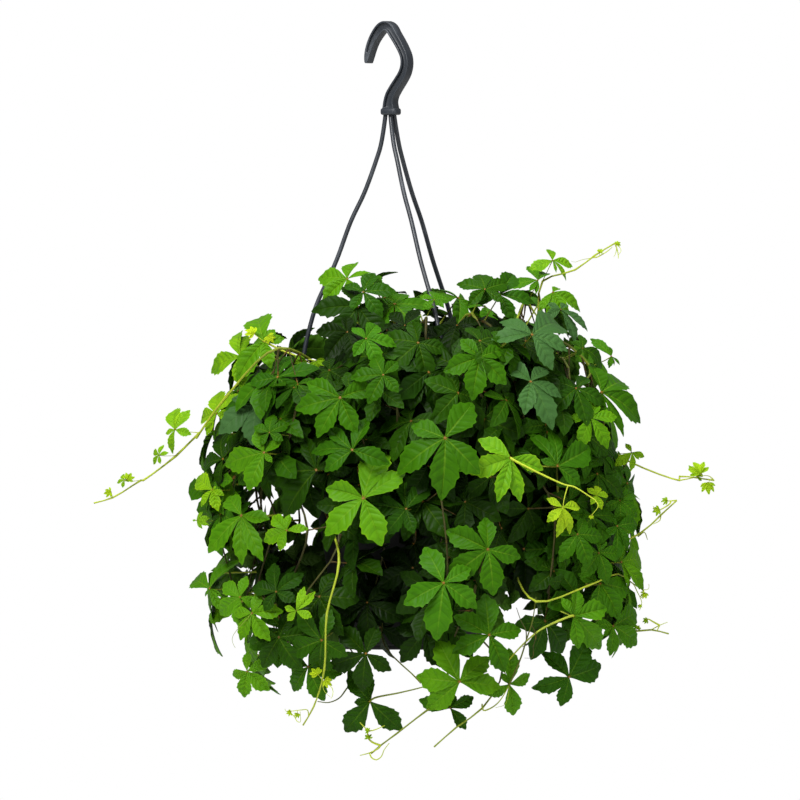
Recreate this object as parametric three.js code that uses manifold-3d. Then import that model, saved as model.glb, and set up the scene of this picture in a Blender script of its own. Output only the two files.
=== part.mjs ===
// A miniature grape ivy in a hanging pot: a thermoformed plastic pot filled with soil, a one-piece
// moulded hanger whose three strands snap into the pot's rim, and a dense mound of leafy stems.
// Units are millimetres, +Z is up, and the origin is the seat inside the hook, where the pot hangs.

import * as THREE from 'three';
import { mergeVertices } from 'three/addons/utils/BufferGeometryUtils.js';
import Module from 'manifold-3d';

const wasm = await Module();
wasm.setup();
const { Manifold, Mesh } = wasm;

// Pot
const POT_X = 18;                     // the pot hangs a little to one side of the hook
const RIM_TOP = -346.5;
const RIM_RADIUS = 75;
const RIM_LIP = 8;                    // height of the turned-down rim
const POT_HEIGHT = 117.5;
const BASE_RADIUS = 51;
const FOOT_STEP = [1.6, 3.6];         // width and height of the step above the foot
const SHOULDER_RADIUS = 71;           // the wall just under the rim
const WALL = 1.6;
const POT_SIDES = 28;
const DRAIN = { count: 5, ring: 33, radius: 3.5, sides: 6 };
const LUG = { width: 13, reach: 86, thickness: 2.6, holeRing: 80, holeRadius: 2.7, sides: 8 };

// Soil
const SOIL_TOP = -356;
const SOIL_CROWN = 4;                 // how much higher the soil stands in the middle
const SOIL_SHOULDER = [50, -353.6];   // where the soil starts to fall towards the wall
const ROOT_DEPTH = 15;
const ROOT_HOLE = { radius: 2.7, depth: 16, sides: 4 };
const ROOT_RING = { inner: 22, outer: 60, high: -190, low: -265 };  // tall stems stand innermost
const CROWN_ROOT = 13;
const GAP = 0.3;                      // left between pieces that touch

// Hanger
const HOOK_TURN = 30;                 // degrees the hook's plane is turned to show its outer edge
const HOOK_THICKNESS = 9.4;
const HOOK_RIM = 1.5;                 // the edge left round each moulded pocket
const POCKET_DEPTH = 2.6;
const POCKET_SPAN = [0.08, 0.98];     // where the pockets start and end, as shares of the hook's line
const HOOK_STEPS = 15;
const COLLAR = { width: 13.2, depth: 11, height: 5.2, corner: 2.2, middle: 4.1, base: -62.6 };
const STRAND_TOP = [3.75, -63];       // across and up, where the three strands leave the collar
const STRAND_RADIUS = 1.7;
const STRAND_ANGLES = [176, 56, -64];
const STRAND_ASIDE = [-2.7, 1.6, -1]; // they leave the collar side by side, this far off its middle
const STRAND_BOW = [0, 0, -3.8];      // the third is bent a little on its way
const ASIDE_END = 30;                 // how far below the collar both have faded out
const BOW_END = 200;
const STRAND_STEPS = 16;
const STRAND_SIDES = 6;
const BARB = { radius: 4.3, shoulder: 1.6, height: 7, sides: 7 };

// Along the middle of the hook from its tip: across, up, half the width.
const HOOK_LINE = [
  [-15, -23.6, 1], [-14.8, -21.4, 1.7], [-14, -17, 2.4], [-12.4, -11.5, 2.8], [-10, -6.2, 3.1],
  [-6.4, -0.8, 3.5], [-2.4, 3.3, 3.7], [1, 4.4, 3.7], [4.7, 2.8, 3.6], [8.2, -2.2, 3.3],
  [11.8, -7.5, 3.2], [15.2, -13.2, 3.1], [17.7, -19, 3.1], [18.1, -25, 3.2], [16.4, -31.2, 3.4],
  [12.4, -37.5, 3.6], [8.4, -43, 3.7], [5.4, -48, 3.8], [4.1, -53, 4.1], [4.1, -58.2, 5],
];

// How far a strand stands off the hanger's axis: depth below the collar, distance.
const STRAND_SWEEP = [
  [-2, 1.4], [0, 1.5], [22, 8], [33, 12.6], [58, 23], [79, 34], [108, 46.2], [124, 54.1], [142, 63.2],
  [160, 69.5], [179, 74.5], [214, 79.5], [244, 81.5], [268, 81], [281, 80], [291.5, 80],
];

// Foliage
const MOUND_X = 25;
const MOUND = [                       // height and radius of the mound of leaves
  [-165, 42], [-179, 70], [-202, 110], [-232, 145], [-277, 165], [-314, 170], [-427, 170],
  [-457, 160], [-502, 130], [-539, 110],
];
const SLOPE_STEP = 8;                 // how far up and down the mound's slope is read
const STEM_RADIUS = 1.2;
const STEM_SIDES = 3;
const LONG_SPAN = 58;                 // a longer stretch between two nodes gets a bend of its own
const PETIOLE = { radius: 0.9, end: 0.5, least: 10, share: 0.45 };
const BLADE = { above: 0.7, below: 1.3, droop: 0.3 };
const MOST_STRETCH = 1.5;             // a leaflet read from the front is made at most this much longer
const LEAST_REACH = 0.6;
const SETTLINGS = 6;
const WIDE_GAP = 90;                  // degrees between two leaflets from which the blade dips deeper
const SLIT = 1;                       // degrees left on either side of a notch
const FULL_HALF = 60;                 // from this half angle on a leaflet has its full width
const LEAFLETS = [[-128, 0.7], [-63, 0.92], [0, 1], [63, 0.92], [128, 0.7]];
const SIDE_CUT = [[0.55, 0.28], [0.74, 0.19]];     // half a leaflet's outline: along, across
const SIDE_PLAIN = [[0.56, 0.27]];                 // the same on a small leaf
const SMALL_LEAF = 27;
const SHADED = 0.6;
const NOTCH = 0.09;
const SINUS = 0.06;
const CLEARANCE = 0.35;               // kept between a leaf and whatever stands near it
const SHADE_DEPTH = 0.62;             // where the most shaded leaf lies, as a share of the mound's radius
const FULL_LIGHT = 0.5;               // from this light up a leaf lies at the surface
const EDGE_DEPTH = 0.3;               // how far forward the leaves at the mound's edge still stand
const LIFT = [0, 0, 0.4];             // leaves turn this far up
const DROOP = 1.2;                    // and their middle leaflet points this far down for 1 out
const FACING = [0, -1, 0.2];          // those in front turn towards the window
const UNEVEN = { front: 0.4, back: 0.5 };
const ZIGZAG = 5;                     // a stem steps this far aside from node to node
const ARCH = { out: 0.35, up: 0.72 }; // where a stem bends over between the soil and its first leaf
const SPROUT = 10;                    // height over the soil up to which a stem is straight

// The stems on the side that shows, read from the plant's look: for each leaf its place across
// and up, the length of its longest leaflet, the way that leaflet points in degrees and how far
// out in the light it stands, 0 to 1. A row with no length only carries the stem along.
const FRONT_STEMS = [
  [[-109, -244, 26, 150, 0.75], [-127, -287, 26, 90, 0.85], [-130, -344, 19, 150, 0.85],
    [-142, -367, 14, 200, 0.85], [-132, -418, 25, 120, 0.6]],
  [[-80, -238, 0, 0, 0.5], [-121, -276, 0, 0, 0.8], [-142, -305, 0, 0, 0.8],
    [-158, -299, 17, 120, 0.85], [-170, -318, 10, 150, 0.85], [-182, -337, 0, 0, 0.9],
    [-196, -337, 8, 120, 0.9], [-205, -350, 0, 0, 0.9], [-219, -354, 0, 0, 0.9]],
  [[-91, -233, 29, 100, 0.7], [-97, -278, 38, 225, 0.25], [-122, -321, 30, 110, 0.2],
    [-108, -363, 40, -100, 0.6], [-109, -424, 24, -150, 0.7], [-100, -436, 24, -60, 0.7]],
  [[-60, -262, 0, 0, 0.3], [-87, -301, 17, 90, 0.5], [-91, -316, 34, 215, 0.65],
    [-74, -374, 21, 180, 0.8], [-82, -420, 25, 100, 0.3], [-80, -454, 29, -60, 0.3],
    [-104, -480, 22, -40, 0.7]],
  [[-29, -186, 27, 165, 0.75], [-17, -196, 25, 10, 0.4], [-52, -329, 40, 200, 0.3],
    [-50, -386, 26, -70, 0.65], [-67, -434, 17, -20, 0.85], [-58, -476, 28, -70, 0.4]],
  [[-45, -262, 0, 0, -0.1], [-48, -345, 0, 0, -0.1], [-35, -398, 0, 0, 0.9],
    [-44, -436, 0, 0, 1], [-46, -478, 0, 0, 1], [-54, -506, 0, 0, 1], [-62, -520, 0, 0, 1]],
  [[-21, -207, 36, 225, 0.25], [-15, -231, 24, 0, 0.6], [-34, -275, 38, 185, 0.6],
    [-25, -314, 33, 170, 0.5], [-17, -350, 43, -68, 0.75]],
  [[-29, -226, 27, 220, 0.15], [-2, -258, 25, 180, 0.5], [-14, -428, 32, -90, 0.1],
    [-48, -456, 32, 190, 0.35], [-12, -502, 33, -60, 0.3]],
  [[11, -204, 24, 90, 0.35], [14, -221, 21, 60, 0.1], [3, -294, 25, -90, 0.15],
    [15, -358, 25, -75, 0.35], [20, -402, 32, -90, 0.1], [-15, -466, 32, 200, 0.2], [26, -488, 0, 0, 0.4]],
  [[36, -202, 14, 90, 0.65], [24, -234, 32, -140, 0.4], [44, -305, 46, -90, 0.6],
    [43, -413, 41, -95, 0.6], [28, -450, 30, -60, 0.15]],
  [[39, -244, 29, -95, 0.15], [56, -272, 22, -60, 0.2], [62, -340, 30, -100, 0.15],
    [76, -388, 37, -145, 0.65],
    [55, -487, 36, -140, 0.6], [48, -507, 22, -60, 0.35], [30, -509, 0, 0, 0.5],
    [8, -526, 0, 0, 0.5], [-4, -535, 0, 0, 0.5], [-11, -541, 0, 0, 0.5]],
  [[70, -245, 30, -100, 0.65], [93, -320, 37, -100, 0.8], [77, -452, 34, -70, 0.5],
    [92, -489, 27, -70, 0.65], [72, -507, 0, 0, 0.6], [53, -521, 0, 0, 0.6],
    [36, -536, 0, 0, 0.6]],
  [[74, -194, 24, 100, 0.5], [91, -296, 28, -60, 0.15], [102, -345, 30, -80, 0.1],
    [103, -388, 36, -80, 0.12],
    [112, -427, 0, 0, 0.8], [150, -416, 0, 0, 1], [174, -407, 0, 0, 1], [182, -412, 0, 0, 1]],
  [[85, -198, 30, 60, 0.42], [108, -263, 36, -60, 0.45], [128, -326, 33, 60, 0.5],
    [132, -357, 16, -90, 0.95], [140, -438, 29, -60, 0.65], [137, -484, 30, -110, 0.4]],
  [[109, -228, 33, -20, 0.4], [142, -268, 29, -70, 0.35], [158, -332, 29, -30, 0.3],
    [157, -348, 12, 0, 0.95], [154, -363, 26, -60, 0.4], [160, -414, 30, -50, 0.5]],
  [[131, -209, 29, -40, 0.35], [169, -244, 22, 135, 0.5], [161, -271, 36, -30, 0.5],
    [184, -316, 12, 0, 0.85], [220, -337, 0, 0, 0.9], [233, -334, 10, 60, 0.9], [246, -337, 0, 0, 0.9]],
  [[147, -238, 14, 0, 0.4], [153, -290, 25, -50, 0.7],
    [175, -352, 20, -30, 0.45], [173, -371, 26, -90, 0.45], [176, -398, 27, -20, 0.65],
    [170, -446, 26, -60, 0.55], [187, -450, 0, 0, 0.6], [199, -449, 0, 0, 0.6],
    [212, -452, 0, 0, 0.6]],
  [[89, -234, 0, 0, 0.6], [114, -187, 19, 120, 0.7], [125, -196, 24, -15, 0.75],
    [125, -172, 17, 180, 0.8], [142, -179, 0, 0, 0.8], [157, -168, 0, 0, 0.8],
    [172, -159, 0, 0, 0.8]],
  [[118, -282, 0, 0, 0.1], [143, -377, 24, -60, 0.5], [159, -391, 24, -60, 0.5],
    [190, -377, 0, 0, 0.9], [206, -363, 0, 0, 0.9], [218, -352, 0, 0, 0.9]],
];

// Leaves whose leaflets were read one by one, by stem and leaf: each leaflet's direction in degrees,
// seen from the front, and its length.
const FINGERS = {
  '1.1': [[-172, 26], [-97, 23], [0, 13], [79, 20], [111, 25]],
  '1.3': [[-133, 15], [-74, 16], [-30, 9], [41, 4], [140, 18]],
  '1.4': [[-60, 8], [-20, 10], [20, 10], [60, 8], [180, 3]],
  '1.5': [[-130, 7], [-68, 18], [-28, 10], [67, 30], [146, 21]],
  '2.4': [[-167, 8], [-118, 17], [-16, 13], [67, 18], [108, 16]],
  '3.1': [[-137, 34], [-76, 20], [11, 15], [60, 12], [114, 28]],
  '3.2': [[-145, 37], [-96, 32], [-17, 26], [33, 39], [163, 18]],
  '3.4': [[-142, 37], [-93, 36], [-62, 38], [-7, 22], [123, 20]],
  '4.3': [[-167, 32], [-116, 31], [-55, 9], [40, 17], [109, 18]],
  '4.4': [[-163, 19], [-122, 16], [11, 16], [84, 12], [138, 16]],
  '5.3': [[-179, 37], [-134, 43], [30, 14], [79, 27], [114, 26]],
  '5.5': [[-137, 10], [-22, 13], [42, 20], [74, 19], [163, 9]],
  '7.3': [[-171, 35], [-121, 34], [-65, 29], [27, 27], [153, 28]],
  '7.4': [[-151, 26], [-19, 28], [63, 27], [140, 25], [172, 32]],
  '7.5': [[-141, 39], [-66, 39], [40, 36], [78, 42], [156, 28]],
  '8.5': [[-131, 30], [-49, 32], [96, 23], [134, 29], [180, 12]],
  '9.4': [[-130, 25], [-68, 19], [56, 27], [96, 28], [170, 26]],
  '10.3': [[-156, 43], [-90, 45], [-39, 37], [49, 35], [154, 27]],
  '10.4': [[-158, 34], [-96, 43], [-33, 31], [29, 24], [113, 31]],
  '11.5': [[-136, 32], [-2, 31], [48, 29], [122, 37], [172, 33]],
  '11.6': [[-50, 20], [26, 20], [72, 12], [123, 12], [163, 24]],
  '12.2': [[-162, 32], [-106, 34], [-76, 33], [-15, 26], [145, 28]],
  '12.3': [[-156, 30], [-63, 30], [17, 25], [92, 31], [145, 30]],
  '12.4': [[-144, 18], [-75, 24], [16, 18], [86, 27], [125, 10]],
  '14.2': [[-105, 24], [-55, 38], [-16, 26], [47, 17], [135, 23]],
  '14.3': [[-36, 22], [27, 28], [88, 30], [116, 33], [150, 13]],
  '14.4': [[-139, 15], [-94, 22], [-60, 20], [10, 13], [153, 14]],
  '14.5': [[-76, 25], [-46, 34], [9, 25], [74, 21], [119, 16]],
  '14.6': [[-156, 28], [-100, 23], [13, 27], [64, 31], [125, 27]],
  '15.1': [[-46, 29], [-16, 29], [38, 33], [142, 26], [173, 30]],
  '15.6': [[-96, 21], [-49, 30], [-10, 24], [80, 22], [147, 18]],
  '16.1': [[-164, 12], [-58, 26], [-24, 25], [53, 8], [153, 11]],
  '16.2': [[-101, 8], [-63, 7], [-38, 9], [100, 10], [130, 21]],
  '16.3': [[-80, 20], [-53, 37], [-20, 37], [39, 27], [98, 24]],
  '16.4': [[-137, 15], [-80, 14], [-40, 8], [-11, 10], [114, 8]],
  '16.6': [[-40, 5], [30, 5], [85, 5], [115, 10], [150, 4]],
  '17.1': [[-133, 7], [-50, 9], [-12, 19], [89, 11], [138, 10]],
  '17.4': [[-135, 12], [-85, 28], [-50, 20], [19, 17], [123, 8]],
  '17.5': [[-70, 19], [-41, 27], [16, 21], [95, 21], [125, 15]],
  '17.6': [[-126, 10], [-89, 22], [-29, 24], [28, 23], [170, 14]],
  '18.2': [[-137, 11], [-98, 9], [63, 14], [111, 13], [179, 23]],
  '18.3': [[-134, 17], [-91, 19], [-50, 22], [-13, 24], [55, 8]],
  '18.4': [[-167, 19], [-60, 9], [-34, 17], [-2, 15], [103, 10]],
};

// The stems round the sides and back, and the short ones that close the crown, follow a rule. The
// mound is tilt higher on its right than in the middle, and hangs spare deeper at its sides.
const BACK = {
  count: 14, first: -9, step: 15, sway: 4, swing: 50, leaves: 4, top: -222, tilt: 14, drop: 57,
  spare: 10, scatter: 16, depth: 0.94, layers: 0.1, length: [30, 42], key: 5000,
};
const CROWN = {
  count: 3, first: 116, step: 120, leaves: 3, top: -200, drop: 7, depth: 0.3, spread: 0.13,
  turn: 0.35, swing: 40, length: [24, 34], key: 8000,
};

// What a leaf may do to lie clear of its neighbours: shift outwards in mm, lean and swing in degrees.
const TRIES = [
  [0, 0, 0], [6, 0, 0], [-5, 0, 0], [0, 14, 0], [0, -14, 0], [12, 0, 0], [6, 14, 8], [6, -14, -8],
  [18, 0, 0], [12, 16, -10], [-8, 12, 10], [-8, -12, -10], [24, 0, 0], [18, 18, 12], [30, 0, 0],
  [24, -18, -12], [36, 0, 0],
];

const radians = (degrees) => degrees * Math.PI / 180;
const mix = (a, b, share) => a + (b - a) * share;
const add = (a, b, scale = 1) => a.map((value, i) => value + b[i] * scale);
const distance = (a, b) => Math.hypot(...add(a, b, -1));
const dot = (a, b) => a[0] * b[0] + a[1] * b[1] + a[2] * b[2];
const cross = (a, b) => [a[1] * b[2] - a[2] * b[1], a[2] * b[0] - a[0] * b[2], a[0] * b[1] - a[1] * b[0]];
const unit = (a) => a.map((value) => value / Math.hypot(...a));

// One direction turned towards another by so many degrees.
function swung(a, b, degrees) {
  return add(a.map((value) => value * Math.cos(radians(degrees))), b, Math.sin(radians(degrees)));
}

// A number from 0 to 1 that looks random and is always the same for the same key.
function noise(key) {
  const value = Math.sin(key * 12.9898 + 78.233) * 43758.5453;
  return value - Math.floor(value);
}

// Geometry and solids
function toSolid(geometry) {
  const bare = geometry.clone();
  bare.deleteAttribute('normal');
  bare.deleteAttribute('uv');
  const merged = mergeVertices(bare, 1e-4);
  return meshSolid(merged.attributes.position.array, merged.index.array);
}

function meshSolid(positions, triangles) {
  return new Manifold(new Mesh({
    numProp: 3,
    vertProperties: new Float32Array(positions),
    triVerts: new Uint32Array(triangles),
  }));
}

function toGeometry(solid) {
  const mesh = solid.getMesh();
  const geometry = new THREE.BufferGeometry();
  geometry.setAttribute('position', new THREE.BufferAttribute(new Float32Array(mesh.vertProperties), 3));
  geometry.setIndex(new THREE.BufferAttribute(new Uint32Array(mesh.triVerts), 1));
  geometry.computeVertexNormals();
  return geometry;
}

function lathe(profile, sides) {
  return upright(new THREE.LatheGeometry(profile.map(([r, z]) => new THREE.Vector2(r, z)), sides));
}

function rod(radius, height, sides) {
  return upright(new THREE.CylinderGeometry(radius, radius, height, sides));
}

function upright(geometry) {
  return geometry.rotateX(Math.PI / 2);
}

// A run of straight pieces, so that a tube's rings stand exactly at the points given.
class Route extends THREE.Curve {
  constructor(points) {
    super();
    this.points = points.map((point) => new THREE.Vector3(...point));
  }

  getPoint(t, target = new THREE.Vector3()) {
    const place = THREE.MathUtils.clamp(t, 0, 1) * (this.points.length - 1);
    const start = Math.min(Math.floor(place), this.points.length - 2);
    return target.lerpVectors(this.points[start], this.points[start + 1], place - start);
  }

  getUtoTmapping(u) {
    return u;
  }
}

function tube(points, radius, sides) {
  const section = new THREE.Shape();
  for (let i = 0; i < sides; i += 1) {
    const angle = i / sides * 2 * Math.PI;
    const x = radius * Math.cos(angle);
    const y = radius * Math.sin(angle);
    if (i === 0) section.moveTo(x, y);
    else section.lineTo(x, y);
  }
  section.closePath();
  const options = { steps: points.length - 1, extrudePath: new Route(points), bevelEnabled: false };
  return toSolid(new THREE.ExtrudeGeometry(section, options));
}

// Hanger
function hookOutline(inset, from, to) {
  const line = new THREE.CatmullRomCurve3(HOOK_LINE.map(([x, z, half]) => new THREE.Vector3(x, z, half)));
  const left = [];
  const right = [];
  for (let i = 0; i <= HOOK_STEPS; i += 1) {
    const t = mix(from, to, i / HOOK_STEPS);
    const middle = line.getPoint(t);
    const tangent = line.getTangent(t).setZ(0).normalize();
    const half = middle.z - inset;
    left.push(new THREE.Vector2(middle.x - tangent.y * half, middle.y + tangent.x * half));
    right.push(new THREE.Vector2(middle.x + tangent.y * half, middle.y - tangent.x * half));
  }
  return new THREE.Shape([...left, ...right.reverse()]);
}

function inHookPlane(geometry, back) {
  const turn = radians(HOOK_TURN);
  const across = new THREE.Vector3(Math.cos(turn), -Math.sin(turn), 0);
  const up = new THREE.Vector3(0, 0, 1);
  const forward = new THREE.Vector3().crossVectors(across, up);
  const place = new THREE.Matrix4().makeBasis(across, up, forward);
  return geometry.translate(0, 0, back).applyMatrix4(place);
}

function roundedBar({ width, depth, height, corner }) {
  const [x, y] = [width / 2, depth / 2];
  const shape = new THREE.Shape();
  shape.moveTo(-x + corner, -y);
  shape.lineTo(x - corner, -y);
  shape.absarc(x - corner, -y + corner, corner, -Math.PI / 2, 0);
  shape.absarc(x - corner, y - corner, corner, 0, Math.PI / 2);
  shape.absarc(-x + corner, y - corner, corner, Math.PI / 2, Math.PI);
  shape.absarc(-x + corner, -y + corner, corner, Math.PI, 1.5 * Math.PI);
  return new THREE.ExtrudeGeometry(shape, { depth: height, bevelEnabled: false, curveSegments: 1 });
}

function makeHook() {
  const flat = { depth: HOOK_THICKNESS, bevelEnabled: false };
  const slab = new THREE.ExtrudeGeometry(hookOutline(0, 0, 1), flat);
  const body = toSolid(inHookPlane(slab, -HOOK_THICKNESS / 2));
  const pocket = { depth: POCKET_DEPTH * 2, bevelEnabled: false };
  const pockets = [-1, 1].map((side) => {
    const outline = new THREE.ExtrudeGeometry(hookOutline(HOOK_RIM, ...POCKET_SPAN), pocket);
    return toSolid(inHookPlane(outline, side * HOOK_THICKNESS / 2 - POCKET_DEPTH));
  });
  const collar = roundedBar(COLLAR);
  collar.translate(COLLAR.middle, 0, COLLAR.base).rotateZ(-radians(HOOK_TURN));
  return Manifold.union([body.subtract(Manifold.union(pockets)), toSolid(collar)]);
}

function strandPoints(strand) {
  const drop = RIM_TOP - STRAND_TOP[1];
  const angle = radians(STRAND_ANGLES[strand]);
  return STRAND_SWEEP.map(([below, reach]) => {
    const share = Math.max(0, Math.min(1, -below / drop));
    const bow = Math.sqrt(Math.sin(Math.PI * Math.max(0, Math.min(1, below / BOW_END))));
    const shift = STRAND_ASIDE[strand] * Math.max(0, Math.min(1, 1 - below / ASIDE_END))
      + STRAND_BOW[strand] * bow;
    const axis = mix(STRAND_TOP[0], POT_X, share) + shift;
    return [axis + reach * Math.cos(angle), reach * Math.sin(angle), STRAND_TOP[1] - below];
  });
}

// The arrowhead that snaps through the lug, its flat shoulder just under the plastic.
function makeBarb(angle) {
  const shoulder = RIM_TOP - LUG.thickness - GAP;
  const profile = [
    [0, -BARB.height], [STRAND_RADIUS, -BARB.height], [BARB.radius, -BARB.shoulder],
    [BARB.radius, 0], [0, 0],
  ];
  const barb = lathe(profile, BARB.sides).translate(LUG.holeRing, 0, shoulder);
  return toSolid(barb.rotateZ(radians(angle)).translate(POT_X, 0, 0));
}

function makeHanger() {
  const pieces = [makeHook()];
  STRAND_ANGLES.forEach((angle, strand) => {
    const bends = strandPoints(strand).map((point) => new THREE.Vector3(...point));
    const path = new THREE.CatmullRomCurve3(bends);
    const rings = path.getPoints(STRAND_STEPS).map((point) => point.toArray());
    pieces.push(tube(rings, STRAND_RADIUS, STRAND_SIDES), makeBarb(angle));
  });
  return Manifold.union(pieces);
}

// Pot
function wallRadius(z) {
  const floor = RIM_TOP - POT_HEIGHT + FOOT_STEP[1];
  const share = (z - floor) / (RIM_TOP - RIM_LIP - floor);
  return mix(BASE_RADIUS + FOOT_STEP[0], SHOULDER_RADIUS, share);
}

function makePot() {
  const base = RIM_TOP - POT_HEIGHT;
  const step = base + FOOT_STEP[1];
  const under = RIM_TOP - LUG.thickness;
  const profile = [
    [0, base], [BASE_RADIUS, base], [BASE_RADIUS, step], [wallRadius(step), step],
    [wallRadius(under), under], [RIM_RADIUS - WALL, under], [RIM_RADIUS - WALL, RIM_TOP - RIM_LIP],
    [RIM_RADIUS, RIM_TOP - RIM_LIP], [RIM_RADIUS, RIM_TOP - 1], [RIM_RADIUS - 1, RIM_TOP],
    [wallRadius(RIM_TOP) - WALL, RIM_TOP], [wallRadius(base + 2 * WALL) - WALL, base + 2 * WALL],
    [BASE_RADIUS - 2 * WALL, base + WALL], [0, base + WALL],
  ];
  const shell = toSolid(lathe(profile, POT_SIDES));
  const lugs = [];
  const holes = [];
  const inner = RIM_RADIUS - 2 * WALL;
  for (const angle of STRAND_ANGLES) {
    const tab = new THREE.BoxGeometry(LUG.reach - inner, LUG.width, LUG.thickness);
    tab.translate((LUG.reach + inner) / 2, 0, RIM_TOP - LUG.thickness / 2).rotateZ(radians(angle));
    lugs.push(toSolid(tab));
    const hole = rod(LUG.holeRadius, RIM_LIP * 2, LUG.sides);
    hole.translate(LUG.holeRing, 0, RIM_TOP).rotateZ(radians(angle));
    holes.push(toSolid(hole));
  }
  for (let i = 0; i < DRAIN.count; i += 1) {
    const drain = rod(DRAIN.radius, WALL * 4, DRAIN.sides);
    drain.translate(DRAIN.ring, 0, base).rotateZ(i / DRAIN.count * 2 * Math.PI);
    holes.push(toSolid(drain));
  }
  const pot = Manifold.union([shell, ...lugs]).subtract(Manifold.union(holes));
  return pot.translate([POT_X, 0, 0]);
}

// Soil, with a plain hole for each root
function makeSoil(stems) {
  const floor = RIM_TOP - POT_HEIGHT + 2 * WALL + GAP;
  const profile = [
    [0, floor], [wallRadius(floor) - WALL - GAP, floor], [wallRadius(SOIL_TOP) - WALL - GAP, SOIL_TOP],
    SOIL_SHOULDER, [0, SOIL_TOP + SOIL_CROWN],
  ];
  const soil = toSolid(lathe(profile, POT_SIDES)).translate([POT_X, 0, 0]);
  const { radius, depth, sides } = ROOT_HOLE;
  const holes = stems.map(({ points }) => {
    const hole = rod(radius, depth * 2, sides);
    return toSolid(hole.translate(points[0][0], points[0][1], SOIL_TOP));
  });
  return soil.subtract(Manifold.union(holes));
}

// The mound
function moundRadius(z) {
  if (z >= MOUND[0][0]) return MOUND[0][1];
  for (let i = 1; i < MOUND.length; i += 1) {
    if (z >= MOUND[i][0]) {
      const share = (MOUND[i - 1][0] - z) / (MOUND[i - 1][0] - MOUND[i][0]);
      return mix(MOUND[i - 1][1], MOUND[i][1], share);
    }
  }
  return MOUND[MOUND.length - 1][1];
}

function moundNormal([x, y, z]) {
  const reach = Math.max(1, Math.hypot(x - MOUND_X, y));
  const slope = (moundRadius(z + SLOPE_STEP) - moundRadius(z - SLOPE_STEP)) / (2 * SLOPE_STEP);
  return unit([(x - MOUND_X) / reach, y / reach, -slope]);
}

// Leaves: each has a hub, a normal, the way its middle leaflet points and a leaflet length.
function frontLeaf([x, z, length, turn, light], key, fingers) {
  const radius = moundRadius(z);
  const side = (x - MOUND_X) / radius;
  const depth = mix(SHADE_DEPTH, 1, Math.min(1, light / FULL_LIGHT));
  const forward = Math.sqrt(Math.max(EDGE_DEPTH ** 2, 1 - side * side));
  const hub = [x, -radius * forward * depth, z];
  const out = moundNormal(hub);
  const lifted = unit(add(out, LIFT));
  const jitter = [noise(key) - 0.5, 0, noise(key + 0.3) - 0.5];
  const normal = unit(add(add(lifted, FACING), jitter, UNEVEN.front));
  const heading = [Math.cos(radians(turn)), 0, Math.sin(radians(turn))];
  heading[1] = -(normal[0] * heading[0] + normal[2] * heading[2]) / normal[1];
  return { hub, out, normal, along: unit(heading), length, light, fingers, push: [0, -1, 0] };
}

function ruledLeaf(angle, z, depth, length, swing, key) {
  const reach = moundRadius(z) * depth;
  const hub = [MOUND_X + reach * Math.cos(angle), reach * Math.sin(angle), z];
  const out = moundNormal(hub);
  const jitter = [noise(key + 0.1) - 0.5, noise(key + 0.2) - 0.5, noise(key + 0.3) - 0.5];
  const normal = unit(add(add(out, LIFT), jitter, UNEVEN.back));
  const fall = [out[0], out[1], -DROOP];
  const downhill = unit(add(fall, normal, -dot(fall, normal)));
  const sideways = cross(normal, downhill);
  const along = unit(swung(downhill, sideways, swing));
  return { hub, out, normal, along, length, light: SHADED, push: out };
}

// A leaf's frame after one of its tries.
function leafFrame(leaf, [shift, lean, swing]) {
  const across = cross(leaf.normal, leaf.along);
  const leaned = swung(leaf.normal, across, lean);
  const side = unit(cross(leaned, leaf.along));
  const turned = swung(leaf.along, side, swing);
  return {
    hub: add(leaf.hub, leaf.push, shift),
    normal: leaned,
    along: turned,
    across: cross(leaned, turned),
    length: leaf.length,
    light: leaf.light,
    fingers: leaf.fingers,
  };
}

// The leaflets of a leaf in its own plane, in order round its hub: turn in degrees, length.
function leafletsOf({ normal, along, across, length, fingers }) {
  if (!fingers) return LEAFLETS.map(([turn, share]) => [turn, share * length]);
  const read = fingers.map(([angle, wanted]) => {
    const [aside, up] = [Math.cos(radians(angle)), Math.sin(radians(angle))];
    const lean = -(normal[0] * aside + normal[2] * up);
    const way = [aside, lean / normal[1], up];
    const stretch = Math.min(Math.hypot(...way), MOST_STRETCH);
    let reach = wanted;
    for (let i = 0; i < SETTLINGS; i += 1) {
      const settled = (wanted - lean * BLADE.droop * reach * reach / length) * stretch;
      reach = Math.max(LEAST_REACH * wanted, Math.min(MOST_STRETCH * wanted, settled));
    }
    return [Math.atan2(dot(way, across), dot(way, along)) * 180 / Math.PI, reach];
  });
  return read.sort((a, b) => a[0] - b[0]);
}

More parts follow.
